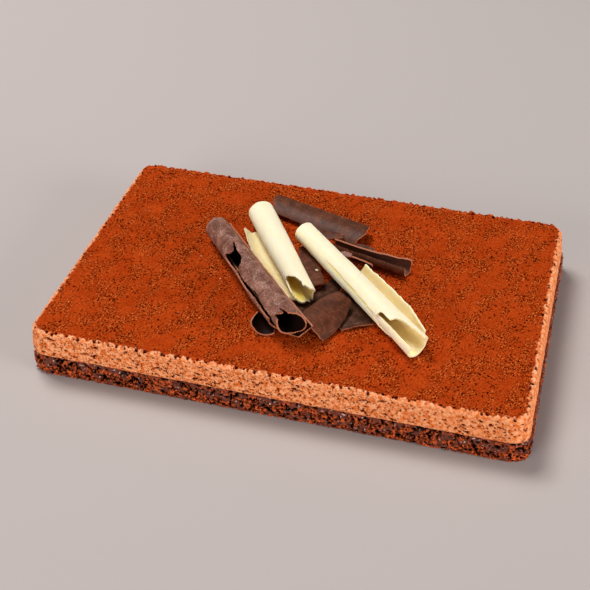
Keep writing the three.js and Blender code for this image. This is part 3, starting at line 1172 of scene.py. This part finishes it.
@dataclass
class Cocoa:
    """The cocoa: a dusting with fine lumps, pinholes and the faint strokes of spreading."""

    outline: Outline
    bottom: float
    top: float
    step: float = 0.82
    edge: float = 3.9
    pinholes: int = 700
    seed: int = 51

    lumps: Layers = ((0.18, 5.0, 21), (0.3, 1.7, 22))
    strokes: Layers = ((0.16, 2.6, 23),)
    stroke_stretch: Range = (0.12, 1.0)
    ragged: Layers = ((0.6, 3.4, 24),)
    crowds: Layers = ((1.0, 16.0, 25),)
    crowd_more: float = 0.25  # added to the crowds, so that there are some pinholes between them
    crowd_range: Range = (0.02, 1.0)
    set_down: float = 0.3  # how far the middle of the lumps lies below the top
    grit: float = 0.05
    pit_range: Range = (0.4, 1.0)
    pit_depth: float = 0.7
    spare: float = 1.0  # how much wider the grid is than the trimmed dusting
    crease: float = 60.0  # degrees past which an edge stays sharp

    def height(self, plan: np.ndarray) -> np.ndarray:
        """Gives the height of the powder.

        Args:
            plan: one row of x and y for each place.

        Returns:
            The height at each place.
        """
        level = np.zeros(len(plan))
        turned = math.radians(COCOA.stroke)
        turn = np.array(((math.cos(turned), math.sin(turned)), (-math.sin(turned), math.cos(turned))))
        strokes = np.column_stack(((plan @ turn.T) * np.array(self.stroke_stretch), level))
        lumps = roughen(np.column_stack((plan, level)), self.lumps) + roughen(strokes, self.strokes)
        return self.top - self.set_down + lumps

    def build(self) -> Piece:
        """Models the cocoa: a fine grid trimmed to the ragged outline, raised in lumps and closed below.

        Returns:
            The finished mesh object.
        """
        rng = np.random.default_rng(self.seed)
        length, width = self.outline.length - 2.0 * self.edge, self.outline.width - 2.0 * self.edge
        deselect_all()
        bpy.ops.mesh.primitive_grid_add(
            x_subdivisions=int(length / self.step), y_subdivisions=int(width / self.step), size=1.0
        )
        piece = bpy.context.object
        piece.name = "cake_cocoa"
        points = read_points(piece) * MM * np.array((length + self.spare, width + self.spare, 0.0))
        points[:, :2] += np.array(self.outline.centre)
        write_points(piece, points)
        walked, inset = self.outline.locate(points[:, :2])
        cut_out(piece, Cut.POINTS, inset < self.edge + fray(walked, self.ragged), passes=2)
        points = read_points(piece)
        height = self.height(points[:, :2]) + self.grit * rng.standard_normal(len(points))
        pits = self._pits(points, rng)
        points[:, 2] = height - self.pit_depth * pits
        write_points(piece, points)
        # The pinholes are sunk and also painted dark, as painted shade
        store(piece, "pit_shade", pits)
        self._close()
        piece.data.materials.append(COCOA.material())
        return piece

    def _pits(self, points: np.ndarray, rng: np.random.Generator) -> np.ndarray:
        """Draws pinholes, in loose clusters.

        Args:
            points: the vertices.
            rng: the seeded source of their places.

        Returns:
            The depth at each vertex, from 0 to 1.
        """
        flat = points * np.array((1.0, 1.0, 0.0))
        crowd = np.clip(roughen(flat, self.crowds) + self.crowd_more, *self.crowd_range) ** 2
        chosen = rng.choice(len(points), self.pinholes, replace=False, p=crowd / crowd.sum())
        pits = np.zeros(len(points))
        pits[chosen] = rng.uniform(*self.pit_range, self.pinholes)
        return pits

    def _close(self) -> None:
        """Draws the edge of the trimmed grid, the active object, down to the mousse and fills it below."""
        bpy.ops.object.mode_set(mode="EDIT")
        bpy.ops.mesh.select_mode(type="VERT")
        bpy.ops.mesh.select_all(action="DESELECT")
        bpy.ops.mesh.select_non_manifold(extend=False)
        bpy.ops.mesh.extrude_region_move(TRANSFORM_OT_translate={"value": (0.0, 0.0, -MM)})
        bpy.ops.transform.resize(value=(1.0, 1.0, 0.0), center_override=(0.0, 0.0, self.bottom * MM))
        bpy.ops.mesh.edge_face_add()
        bpy.ops.mesh.select_all(action="SELECT")
        bpy.ops.mesh.normals_make_consistent(inside=False)
        bpy.ops.object.mode_set(mode="OBJECT")
        bpy.ops.object.shade_smooth_by_angle(angle=math.radians(self.crease))


# Chocolate curls


@dataclass(frozen=True)
class Bulge:
    """A place where a shaving stands off its roll: an angle, a share of the length and its spread."""

    angle: float
    share: float
    angle_spread: float
    share_spread: float
    height: float

    def rise(self, angle: np.ndarray, share: np.ndarray) -> np.ndarray:
        """Gives how far the shaving stands off, at each angle and share of the length."""
        far_off = ((angle - self.angle) / self.angle_spread) ** 2
        return self.height * np.exp(-(far_off + ((share - self.share) / self.share_spread) ** 2))


@dataclass(frozen=True)
class Ledge:
    """A crack along a roll, past which the shaving sits lower: angles along it, its length and its drop."""

    angles: Steps
    start: float
    end: float
    drop: float

    fade: float = 30.0  # degrees over which the shaving comes back to its height
    run_in: float = 0.1  # share of the crack over which it opens

    def lower(self, angle: np.ndarray, share: np.ndarray) -> np.ndarray:
        """Gives how much lower the shaving sits.

        Args:
            angle: the angle of each point.
            share: its share of the length.

        Returns:
            The drop at each point.
        """
        along = (share - self.start) / (self.end - self.start)
        before = sample(self.angles, along) - angle
        ends = ease(0.0, self.run_in, along) * (along <= 1.0)
        return self.drop * ends * np.where(before > 0.0, np.exp(-np.clip(before, 0.0, None) / self.fade), 0.0)


@dataclass
class Curl:
    """A shaving of chocolate wound about an axis.

    Angles are in degrees, clockwise from the top as seen from the near end. Along its length: start
    is the angle of the outer long edge, sweep how far it winds, radius its size there and flare how
    far the loose edge opens out. Each turn lies further in than the last, by pitch. Round the
    winding: far_reach and near_reach are how far each broken end runs past its point. Past
    open_from, a share of the length, where the winding lies open, the painted shade of its deeper
    turns, a painted glow on white chocolate, is left off, so that its inner side is as pale as its
    loose edge. Tears are outlines of what has broken off, each corner an angle of the winding, which
    runs on past a whole turn, and a share of the length.
    """

    node: str
    kind: Chocolate
    far: Point
    near: Point
    start: Steps
    sweep: Steps
    radius: Steps
    pitch: float = 0.0
    flare: Steps = (0.0,)
    far_reach: Steps = (0.0,)
    near_reach: Steps = (0.0,)
    ragged: float = 0.8
    edge_ragged: float = 0.5
    open_from: float = 2.0
    tears: Sequence[Polygon] = ()
    bulges: Sequence[Bulge] = ()
    ledges: Sequence[Ledge] = ()
    face: Finish = DARK_FACE
    broken: Finish = DARK_BREAK
    thickness: float = 1.0
    cell: float = 0.6
    seed: int = 0

    flare_turn: float = 0.3  # share of a turn over which the loose edge opens out
    edge_fade: float = 4.0  # how far in from a long edge its raggedness reaches
    opening: float = 0.1  # share of the length over which the painted shade of the deeper turns fades out
    lowest: float = 0.6  # lowest that the middle of the shaving lies above the cocoa
    waves: Layers = ((0.12, 9.0, 76), (0.06, 3.0, 77))  # unevenness of the shaving
    far_end: Layers = ((1.0, 4.0, 70), (0.6, 1.5, 71))  # raggedness of each edge
    near_end: Layers = ((1.0, 4.0, 72), (0.6, 1.5, 73))
    sides: Layers = ((1.0, 5.0, 74), (0.6, 1.6, 75))
    torn: Sequence[Layers] = (((0.5, 1.8, 60),), ((0.5, 1.8, 61),))  # raggedness of a tear, each way
    crack_levels: Range = (0.5, 0.85)  # shares of a ledge's drop between which the painted shade along its crack begins
    apart: float = 9.0  # distance between the patterns of two curls
    fewest: int = 4  # cells across the narrowest shard
    crease: float = 40.0  # degrees past which an edge stays sharp

    @classmethod
    def shard(
        cls, node: str, far: Point, near: Point, arc: Steps, lean: float, radius: float, **rest: object
    ) -> Curl:
        """Makes a gently arched dark shard, given by its middle line.

        Args:
            node: the CAD node that it stands for, or its own name.
            far: far end of the middle line.
            near: near end of the middle line.
            arc: how many degrees it spans, along its length.
            lean: how many degrees it leans.
            radius: radius of its arch.
            rest: other fields of the curl.

        Returns:
            The curl.
        """
        _, right, up = cls.axes(far, near)
        angle = math.radians(lean)
        drop = -radius * (math.sin(angle) * right + math.cos(angle) * up)
        ends = (tuple(np.array(end) + drop) for end in (far, near))
        start = [lean - degrees / 2.0 for degrees in arc]
        return cls(node, Chocolate.DARK, *ends, start=start, sweep=arc, radius=(radius,), **rest)

    @staticmethod
    def axes(far: Point, near: Point) -> tuple[np.ndarray, np.ndarray, np.ndarray]:
        """Gives the directions of a curl.

        Args:
            far: far end of its axis.
            near: near end of its axis.

        Returns:
            The directions along it, to its right and up, seen from its near end.
        """
        along = np.subtract(near, far) / np.linalg.norm(np.subtract(near, far))
        right = np.cross((0.0, 0.0, 1.0), along)
        right /= np.linalg.norm(right)
        return along, right, np.cross(along, right)

    def build(self, base: np.ndarray) -> Piece:
        """Models the curl: a flat sheet is torn, rolled up and given its thickness.

        Args:
            base: the point that far and near are measured from.

        Returns:
            The finished mesh object.
        """
        length = float(np.linalg.norm(np.subtract(self.near, self.far)))
        middle = np.full(1, 0.5)
        arc = math.radians(abs(sample(self.sweep, middle)[0])) * sample(self.radius, middle)[0]
        flat = np.array((arc, length))
        across, lengthwise = max(int(arc / self.cell), self.fewest), int(length / self.cell)
        deselect_all()
        bpy.ops.mesh.primitive_grid_add(x_subdivisions=across, y_subdivisions=lengthwise, size=1.0)
        piece = bpy.context.object
        piece.name = "cake_" + self.node
        self._tear(piece, flat)
        shares = read_points(piece)[:, :2] / flat
        write_points(piece, base + self._roll(shares, flat))
        sheet = piece.data.attributes.new("sheet", "FLOAT_VECTOR", "POINT")
        spread = np.column_stack((shares * flat, np.full(len(shares), self.apart * self.seed)))
        sheet.data.foreach_set("vector", (spread * MM).ravel())
        # How deep in the winding each point lies and where it is cracked, for the painted shade of the finish
        shut = 1.0 - ease(self.open_from - self.opening, self.open_from, shares[:, 1])
        store(piece, "turns", shut * shares[:, 0] * np.abs(sample(self.sweep, shares[:, 1])) / TURN)
        store(piece, "crack", self._cracked(shares, flat))
        for finish in (self.face, self.broken):
            piece.data.materials.append(finish.material())
        wall = piece.modifiers.new("wall", "SOLIDIFY")
        wall.thickness = self.thickness * MM
        wall.offset = 0.0
        wall.material_offset_rim = 1
        bpy.ops.object.modifier_apply(modifier=wall.name)
        store(piece, "outer", self._outer(read_points(piece) - base))
        bpy.ops.object.shade_smooth_by_angle(angle=math.radians(self.crease))
        return piece

    def _cracked(self, shares: np.ndarray, flat: np.ndarray) -> np.ndarray:
        """Tells where the shaving is cracked.

        Args:
            shares: each vertex's share of the winding and of the length.
            flat: the sheet's width and length.

        Returns:
            1 for each vertex in a crack, 0 away from it.
        """
        angle, place = self._unroll(shares, flat)
        cracked = np.zeros(len(shares))
        for ledge in self.ledges:
            cracked += ease(*self.crack_levels, ledge.lower(angle, place / flat[1]) / ledge.drop)
        return cracked

    def _outer(self, points: np.ndarray) -> np.ndarray:
        """Tells the two sides of the shaving apart; its vertices come one side after the other.

        Args:
            points: the vertices, from the pile's base point.

        Returns:
            1 for each vertex of the side away from the axis, 0 for the other side.
        """
        along, _, _ = self.axes(self.far, self.near)
        apart = points - np.array(self.far)
        reach = np.linalg.norm(apart - np.outer(apart @ along, along), axis=1)
        half = len(points) // 2
        first = np.arange(len(points)) < half
        return np.where(first == (reach[:half].mean() > reach[half:].mean()), 1.0, 0.0)

    def _tear(self, piece: Piece, flat: np.ndarray) -> None:
        """Spreads the sheet at its real size, tears its windows out and evens the cut edges.

        Args:
            piece: a grid one unit wide about the origin.
            flat: the sheet's width and length.
        """
        points = read_points(piece) * MM
        write_points(piece, np.column_stack(((points[:, :2] + 0.5) * flat, np.zeros(len(points)))))
        centres = np.empty(len(piece.data.polygons) * 3)
        piece.data.polygons.foreach_get("center", centres)
        centres = centres.reshape(-1, 3) / MM
        jitter = np.column_stack([roughen(centres, layers, self.seed) for layers in self.torn])
        angle, place = self._unroll((centres[:, :2] + jitter) / flat, flat)
        wound = np.column_stack((angle, place / flat[1]))
        torn = np.zeros(len(centres), bool)
        for polygon in self.tears:
            torn |= inside(wound, polygon)
        cut_out(piece, Cut.FACES, torn, passes=3)

    def _unroll(self, shares: np.ndarray, flat: np.ndarray) -> tuple[np.ndarray, np.ndarray]:
        """Finds where points of the sheet come to lie.

        Args:
            shares: each point's share of the winding and of the length.
            flat: the sheet's width and length.

        Returns:
            The angle of each point, running on past a whole turn, and its place along the axis.
        """
        u, v = shares.T
        arc, length = flat
        around = u * arc
        far_end, near_end = (
            self.ragged * fray(around, layers, self.seed) for layers in (self.far_end, self.near_end)
        )
        start_place = -sample(self.far_reach, u) + far_end
        end_place = length + sample(self.near_reach, u) + near_end
        side = self.edge_ragged * fray(v * length, self.sides, self.seed)
        fade = np.exp(-around / self.edge_fade) - np.exp(-(arc - around) / self.edge_fade)
        angle = sample(self.start, v) + sample(self.sweep, v) * (u + side * fade / arc)
        return angle, start_place + (end_place - start_place) * v

    def _roll(self, shares: np.ndarray, flat: np.ndarray) -> np.ndarray:
        """Rolls the flat sheet up.

        Args:
            shares: each vertex's share of the winding and of the length.
            flat: the sheet's width and length.

        Returns:
            One row of x, y and z for each vertex, from the pile's base point.
        """
        v = shares[:, 1]
        angle, place = self._unroll(shares, flat)
        turns = np.abs(angle - sample(self.start, v)) / TURN
        opened = np.clip(1.0 - turns / self.flare_turn, 0.0, None)
        sheet = np.column_stack((shares * flat, np.zeros(len(v))))
        r = sample(self.radius, v) - self.pitch * turns + sample(self.flare, v) * opened**2
        r += roughen(sheet, self.waves, self.seed)
        for bulge in self.bulges:
            r += bulge.rise(angle, place / flat[1])
        for ledge in self.ledges:
            r -= ledge.lower(angle, place / flat[1])
        turned = np.radians(angle)
        along, right, up = self.axes(self.far, self.near)
        spun = (r * np.sin(turned))[:, None] * right + (r * np.cos(turned))[:, None] * up
        points = np.array(self.far) + place[:, None] * along + spun
        points[:, 2] = np.maximum(points[:, 2], self.lowest)
        return points


CURLS = (
    # Large dark scroll on the left, torn open high on its left side and split from there down
    Curl(
        "dark_scroll", Chocolate.DARK, (-69.8, 23.3, 8.7), (5.4, -66.8, 13.2),
        start=(85.0,),
        sweep=(570.0,),
        radius=(8.7, 8.9, 9.1, 9.5, 10.7),
        pitch=2.2,
        near_reach=(8.0,),
        tears=(
            # window, with a crack running up from its corner
            (
                (262, 0.30), (275, 0.287), (300, 0.325), (318, 0.342), (331, 0.335), (350, 0.272),
                (354, 0.276), (338, 0.36), (338, 0.42), (325, 0.455), (297, 0.47), (283, 0.478),
                (270, 0.44), (258, 0.36),
            ),
            # slit from the window to the near end
            (
                (268, 0.46), (285, 0.46), (278, 0.56), (287, 0.66), (294, 0.715), (284, 0.84),
                (286, 0.915), (272, 0.915), (262, 0.84), (270, 0.715), (266, 0.66), (258, 0.56),
            ),
            # inner turn behind the window and the slit
            ((585, 0.22), (680, 0.22), (680, 0.9), (640, 0.9), (600, 0.55)),
            # near end, broken aslant
            (
                (60, 1.3), (60, 1.08), (87, 1.07), (115, 1.035), (156, 1.022), (175, 0.985), (188, 0.95),
                (200, 0.925), (225, 0.91), (250, 0.905), (276, 0.912), (292, 0.93), (333, 0.983),
                (352, 1.0), (395, 1.02), (430, 1.035), (445, 1.04), (480, 1.03), (515, 1.0), (545, 0.985),
                (575, 0.985), (610, 0.99), (635, 0.97), (670, 0.965), (670, 1.3),
            ),
            # notch in that end
            ((335, 0.93), (339, 0.935), (346, 0.965), (356, 1.01), (344, 1.01), (338, 0.96)),
        ),
        bulges=(Bulge(252.0, 0.68, 24.0, 0.2, 1.1),),
        ragged=0.4,
        face=DARK_BLOOMED,
        seed=3,
    ),
    # Open dark trough under the scroll's near end, its inside painted nearly black as shade
    Curl(
        "dark_trough", Chocolate.DARK, (-11.5, -50.0, 9.5), (-10.4, -66.0, 9.5),
        start=(245.0, 278.0),
        sweep=(-70.0, -142.0),
        radius=(8.6,),
        face=DARK_BLOOMED,
        seed=4,
    ),
    # Short white roll with a loose flap on its left and a broken near end
    Curl(
        "white_roll_short", Chocolate.WHITE, (-46.7, 45.4, 10.0), (0.6, -27.0, 9.8),
        start=(248.0,),
        sweep=(-450.0,),
        radius=(9.6, 9.5, 9.0, 8.4, 8.0),
        pitch=2.0,
        flare=(4.0, 6.6, 7.4, 5.2, 1.9, 0.2),
        near_reach=(11.0,),
        tears=(
            # far corner of the flap
            ((260, -0.1), (260, 0.085), (240, 0.07), (228, 0.11), (205, 0.10), (190, 0.14), (175, -0.1)),
            # near end, open on top and drawn out in tips below
            (
                (260, 1.03), (240, 1.036), (215, 1.03), (193, 1.02), (170, 1.05), (150, 1.095), (141, 1.06),
                (132, 1.095), (116, 1.05), (100, 1.06), (68, 1.10), (20, 1.12), (8, 1.085), (-4, 1.08),
                (-3, 1.03), (-22, 0.962), (-54, 0.9), (-78, 0.905), (-88, 0.98), (-95, 1.02), (-120, 1.04),
                (-150, 1.085), (-175, 1.1), (-210, 1.08), (-210, 1.4), (260, 1.4),
            ),
        ),
        face=WHITE_FACE,
        broken=WHITE_BREAK,
        ragged=0.3,
        open_from=1.0,
        seed=5,
    ),
    # Long white roll with a loose flap on its right; its near end lies open as a gutter
    Curl(
        "white_roll_long", Chocolate.WHITE, (-11.6, 28.9, 12.0), (80.4, -61.4, 8.6),
        start=(66.0,),
        sweep=(591.0,),
        radius=(7.3, 7.4, 7.9, 7.8, 8.1, 8.9),
        pitch=1.15,
        flare=(0.0, 0.0, 5.0, 6.0, 6.0, 0.5),
        near_reach=(-2.0, -1.0, 0.0, 3.5, -2.0, 0.0, 2.5),
        tears=(
            # far end of the flap
            ((20, -0.1), (20, 0.43), (66, 0.42), (100, 0.40), (130, 0.36), (130, -0.1)),
            # opening that turns the near end into a gutter
            (
                (40, 0.96), (66, 0.955), (100, 0.945), (150, 0.92), (200, 0.86), (215, 0.82), (236, 0.775),
                (250, 0.75), (268, 0.725), (284, 0.70), (287, 0.744), (317, 0.756), (316, 0.795),
                (320, 0.832), (346, 0.845), (362, 0.88), (372, 0.94), (380, 0.985), (390, 1.06),
                (390, 1.3), (40, 1.3),
            ),
        ),
        ledges=(Ledge((303.0, 301.0, 297.0, 292.0, 285.0), 0.27, 0.76, 0.8),),
        face=WHITE_FACE,
        broken=WHITE_BREAK,
        ragged=0.3,
        open_from=0.8,
        seed=6,
    ),
    # Long dark tile at the back
    Curl.shard(
        "dark_tile_back", (-42.3, 65.6, 6.2), (23.2, 44.2, 6.6), (50.0, 54.0, 58.0), lean=-10.0, radius=20.0,
        far_reach=(-4.0, 2.0, 4.0), near_reach=(-0.5, 3.0, 0.5), seed=7,
    ),
    # Torn dark flake against the front of the back tile
    Curl.shard(
        "dark_flake_back", (-3.5, 35.8, 6.3), (11.8, 37.6, 6.6), (20.0, 24.0, 18.0), lean=-12.0, radius=16.0,
        near_reach=(-3.0, 0.5, -1.5, 1.0), seed=14,
    ),
    # Narrow dark stick, rolled up most of the way and open along its top
    Curl(
        "dark_stick", Chocolate.DARK, (7.3, 28.4, 5.3), (58.5, 15.0, 5.1),
        start=(52.0,),
        sweep=(264.0,),
        radius=(4.0, 4.2, 4.2),
        flare=(0.0, 0.0, 0.0, 1.5, 2.8),
        near_reach=(1.5,),
        seed=8,
    ),
    # Small dark splinter on edge beside the long white roll, its inner face painted nearly black as shade
    Curl.shard(
        "dark_splinter", (22.5, 17.7, 5.9), (37.3, 13.8, 4.8), (10.0, 16.0, 10.0), lean=60.0, radius=16.0,
        face=DARK_BLOOMED, seed=9,
    ),
    # Dark shard in the gap between the white rolls
    Curl.shard(
        "dark_shard_upper", (-11.5, 25.0, 2.8), (8.4, -16.5, 5.6), (14.0, 26.0, 24.0), lean=-8.0, radius=26.0,
        seed=10,
    ),
    # Dark shard lying on the cocoa below it, painted darker as it lies in shade
    Curl.shard(
        "dark_shard_lower", (19.0, -3.0, 1.0), (11.5, -33.5, 1.0), (8.0, 11.0, 10.0), lean=0.0, radius=70.0,
        face=DARK_SHADED, seed=11,
    ),
    # Short arched dark tile at the front
    Curl.shard(
        "dark_tile_front", (28.9, -27.0, 9.4), (15.8, -60.5, 8.7), (38.0, 76.0, 90.0, 84.0), lean=15.0,
        radius=16.2, near_reach=(-5.0, -3.0, 0.0, 1.0, 0.0), seed=12,
    ),
    # Flat dark shard at the front, half under the arched tile, painted darker as it lies in shade
    Curl.shard(
        "dark_shard_front", (23.5, -15.8, 2.45), (41.0, -44.2, 1.35), (6.0, 13.0, 16.0, 15.0), lean=0.0,
        radius=80.0, face=DARK_SHADED, seed=13,
    ),
)

CHIPS = (
    # Chip behind the stick, half under the back tile
    Curl.shard(
        "dark_chip_back", (21.5, 34.4, 3.4), (34.3, 33.2, 2.8), (10.0, 14.0, 8.0), lean=-30.0, radius=16.0,
        ragged=0.6, seed=15,
    ),
    # Chip on the cocoa under the short white roll's near end, painted darker as it lies in shade
    Curl.shard(
        "dark_chip_left", (4.5, -29.5, 0.9), (0.6, -43.0, 0.9), (9.0, 10.0, 7.0), lean=0.0, radius=70.0,
        ragged=0.6, face=DARK_SHADED, seed=17,
    ),
    # Chip at the far end of the splinter
    Curl.shard(
        "dark_chip_front", (14.4, 19.6, 6.0), (22.4, 19.0, 6.2), (9.0, 16.0, 12.0), lean=-16.0, radius=16.0,
        ragged=0.6, face=DARK_BLOOMED, seed=16,
    ),
)


# Loose crumbs


@dataclass
class Crumbs:
    """Many loose crumbs of one kind, joined in one mesh."""

    name: str
    slot: str
    finish: Finish
    size: Range
    flatness: float = 0.7
    roughness: float = 0.25
    seed: int = 0

    shape: Point = (1.0, 0.8, 0.65)  # length, width and thickness of a crumb, as shares of its size

    def build(self, places: np.ndarray) -> None:
        """Makes one crumb at each place, each turned and worn in its own way.

        Args:
            places: the middle of each crumb, one row of x, y and z.
        """
        rng = np.random.default_rng(self.seed)
        deselect_all()
        bpy.ops.mesh.primitive_ico_sphere_add(subdivisions=1, radius=MM)
        model = bpy.context.object
        corners = read_points(model)
        sides = np.array([polygon.vertices[:] for polygon in model.data.polygons])
        bpy.data.objects.remove(model)
        count = len(places)
        turned = np.linalg.qr(rng.standard_normal((count, 3, 3)))[0]
        turned *= np.sign(np.linalg.det(turned))[:, None, None]
        worn = corners[None] * (1.0 + self.roughness * rng.uniform(-1.0, 1.0, (count, len(corners), 1)))
        worn = np.einsum("nij,nkj->nki", turned, worn * np.array(self.shape))
        halves = rng.uniform(self.size[0] ** 0.5, self.size[1] ** 0.5, (count, 1, 1)) ** 2 / 2.0
        spread = worn * halves * np.array((1.0, 1.0, self.flatness)) + places[:, None, :]
        faces = sides[None] + (len(corners) * np.arange(count))[:, None, None]
        mesh = bpy.data.meshes.new(self.name)
        mesh.from_pydata((spread.reshape(-1, 3) * MM).tolist(), [], faces.reshape(-1, 3).tolist())
        piece = bpy.data.objects.new(self.name, mesh)
        bpy.context.scene.collection.objects.link(piece)
        mesh.materials.append(self.finish.material())
        hand_over(piece, self.slot)


# Cake


@dataclass
class Cake:
    """The whole cake: its layers, its curls and its crumbs."""

    length: float = 300.0
    width: float = 198.0
    sponge_length: float = 303.0
    sponge_width: float = 199.4
    corner: float = 10.0
    crumb_seed: int = 71
    sponge_crumbs: int = 1300

    strewn_stretch: Range = (1.2, 0.8)  # stretch of the strewn crumbs along and across the cake
    spare_places: int = 4  # places drawn for each crumb, as some fall off the cake
    rim_clear: float = 6.0  # how far in from the edge the crumbs stay
    crumb_lift: float = 0.2  # height of a crumb's middle above the powder
    fallen_spot: Point = (4.6, -1.7, 5.7)  # place of the crumb on the shard, from the pile's base point
    crumb_crowding: float = 4.0  # how strongly the sponge's crumbs crowd towards its foot
    crumb_levels: Range = (0.9, 12.0)  # lowest height of their middles, and how far up from there they reach
    crumb_out: Range = (-0.3, 0.35)  # how far they stand off the wall

    def __post_init__(self) -> None:
        """Takes the layers' places and heights from the frame."""
        self.low = {name: np.array(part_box(name)[0]) / MM for name in ("sponge", "mousse", "cocoa")}
        self.high = {name: np.array(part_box(name)[1]) / MM for name in ("sponge", "mousse", "cocoa")}
        middle = (self.low["mousse"] + self.high["mousse"]) / 2.0
        self.outline = Outline(self.length, self.width, self.corner, (middle[0], middle[1]))
        self.foot = Outline(self.sponge_length, self.sponge_width, self.corner, (0.0, 0.0))
        self.rim = Rim(self.outline)
        self.base = np.array((middle[0], middle[1], self.high["cocoa"][2]))

    def layers(self) -> None:
        """Builds the sponge, the mousse and the cocoa."""
        sponge = Sponge(self.foot, self.high["sponge"][2])
        hand_over(sponge.build(), "sponge", "sponge")
        self.cocoa = Cocoa(self.outline, self.low["cocoa"][2], self.high["cocoa"][2])
        mousse = Mousse(self.outline, self.rim, self.cocoa, self.low["mousse"][2], self.high["mousse"][2])
        hand_over(mousse.build(), "mousse", "mousse")
        hand_over(self.cocoa.build(), "cocoa", "cocoa")

    def curls(self) -> None:
        """Builds the pile of chocolate curls and the chips among them."""
        for curl in CURLS:
            hand_over(curl.build(self.base), curl.kind.value, curl.node)
        for chip in CHIPS:
            hand_over(chip.build(self.base), chip.kind.value)

    def crumbs(self) -> None:
        """Strews crumbs over the cocoa and along the sponge."""
        rng = np.random.default_rng(self.crumb_seed)
        white, dark = Chocolate.WHITE.value, Chocolate.DARK.value
        # Each kind with its number of crumbs and how far they are strewn
        strewn = (
            (Crumbs("white_crumbs", white, WHITE_BREAK, (0.5, 1.1), seed=72), 22, 45.0),
            (Crumbs("dark_crumbs", dark, DARK_BREAK, (0.5, 1.5), seed=73), 60, 55.0),
        )
        for crumbs, count, spread in strewn:
            drawn = rng.normal(0.0, spread, (self.spare_places * count, 2))
            plan = drawn * np.array(self.strewn_stretch) + self.base[:2]
            _, inset = self.outline.locate(plan)
            plan = plan[inset > self.rim_clear][:count]
            crumbs.build(np.column_stack((plan, self.cocoa.height(plan) + self.crumb_lift)))
        fallen = Crumbs("white_crumb_on_shard", white, WHITE_BREAK, (2.0, 2.4), seed=75)
        fallen.build(self.base + np.array((self.fallen_spot,)))
        self._sponge_crumbs(rng)

    def _sponge_crumbs(self, rng: np.random.Generator) -> None:
        """Leaves crumbs on the sponge's wall and along its foot.

        Args:
            rng: the seeded source of their places.
        """
        count = self.sponge_crumbs
        walked = rng.uniform(0.0, self.foot.perimeter, count)
        point, outward = self.foot.at(walked)
        lowest, reach = self.crumb_levels
        level = rng.uniform(0.0, 1.0, count) ** self.crumb_crowding * reach + lowest
        out = rng.uniform(*self.crumb_out, count) - np.interp(level, Sponge.levels, Sponge.insets)
        point += out[:, None] * outward
        point[:, 0] += np.interp(level, Sponge.levels, Sponge.leans) * outward[:, 0]
        places = np.column_stack((point, level))
        Crumbs("sponge_crumbs", "sponge", SPONGE_CRUMB, (0.6, 1.9), 0.9, seed=74).build(places)


# Studio


@dataclass(frozen=True)
class Softbox:
    """A square soft light: its place and side in metres, its power in watts."""

    name: str
    spot: Point
    side: float
    power: float

    def hang(self) -> None:
        """Hangs the light so that it faces the cake."""
        lamp = bpy.data.lights.new(self.name, "AREA")
        lamp.size = self.side
        lamp.energy = self.power
        light = bpy.data.objects.new(self.name, lamp)
        light.location = self.spot
        light.rotation_euler = (-Vector(self.spot)).to_track_quat("-Z", "Y").to_euler()
        bpy.context.scene.collection.objects.link(light)


@dataclass
class Studio:
    """Pale floor, soft light and a camera at the photograph's angle.

    The camera's place is measured from the middle of the mousse, on the floor. The floor's side is
    in metres.
    """

    cake: Cake
    azimuth: float = 15.428
    elevation: float = 38.104
    lens: float = 72.84
    sensor: float = 36.0
    camera_spot: Point = (151.9, -587.3, 491.4)
    floor_side: float = 6.0
    ambient: float = 0.12
    softboxes: tuple[Softbox, ...] = (
        Softbox("key", (-0.9, 0.6, 2.0), 0.9, 44.0),
        Softbox("front_fill", (-0.8, -2.0, 0.6), 1.2, 28.0),
        Softbox("right_fill", (1.9, -0.4, 0.5), 1.0, 30.0),
    )

    def build(self) -> None:
        """Sets up the floor, the lights and the camera."""
        deselect_all()
        bpy.ops.mesh.primitive_plane_add(size=self.floor_side)
        floor = bpy.context.object
        floor.name = "floor"
        floor.data.materials.append(FLOOR.material())
        self._world()
        for softbox in self.softboxes:
            softbox.hang()
        self._camera()
        bpy.context.scene.view_settings.view_transform = "Standard"

    def _world(self) -> None:
        """Fills the studio with even white light."""
        world = bpy.data.worlds.new("studio")
        world.use_nodes = True
        background = world.node_tree.nodes["Background"]
        background.inputs["Color"].default_value = (1.0, 1.0, 1.0, 1.0)
        background.inputs["Strength"].default_value = self.ambient
        bpy.context.scene.world = world

    def _camera(self) -> None:
        """Sets the camera where the photograph was taken from."""
        lens = bpy.data.cameras.new("camera")
        lens.lens = self.lens
        lens.sensor_width = self.sensor
        camera = bpy.data.objects.new("camera", lens)
        turn, rise = math.radians(self.azimuth), math.radians(self.elevation)
        view = Vector((-math.sin(turn) * math.cos(rise), math.cos(turn) * math.cos(rise), -math.sin(rise)))
        plan = (*self.cake.outline.centre, 0.0)
        camera.location = (Vector(self.camera_spot) + Vector(plan)) * MM
        camera.rotation_euler = view.to_track_quat("-Z", "Y").to_euler()
        bpy.context.scene.collection.objects.link(camera)
        bpy.context.scene.camera = camera


def main() -> None:
    """Builds the cake piece by piece, sets the studio and notes the sizes."""
    logging.basicConfig(level=logging.INFO, format="%(name)s: %(message)s")
    cake = Cake()
    cake.layers()
    cake.curls()
    cake.crumbs()
    Studio(cake).build()


if __name__ == "__main__":
    main()
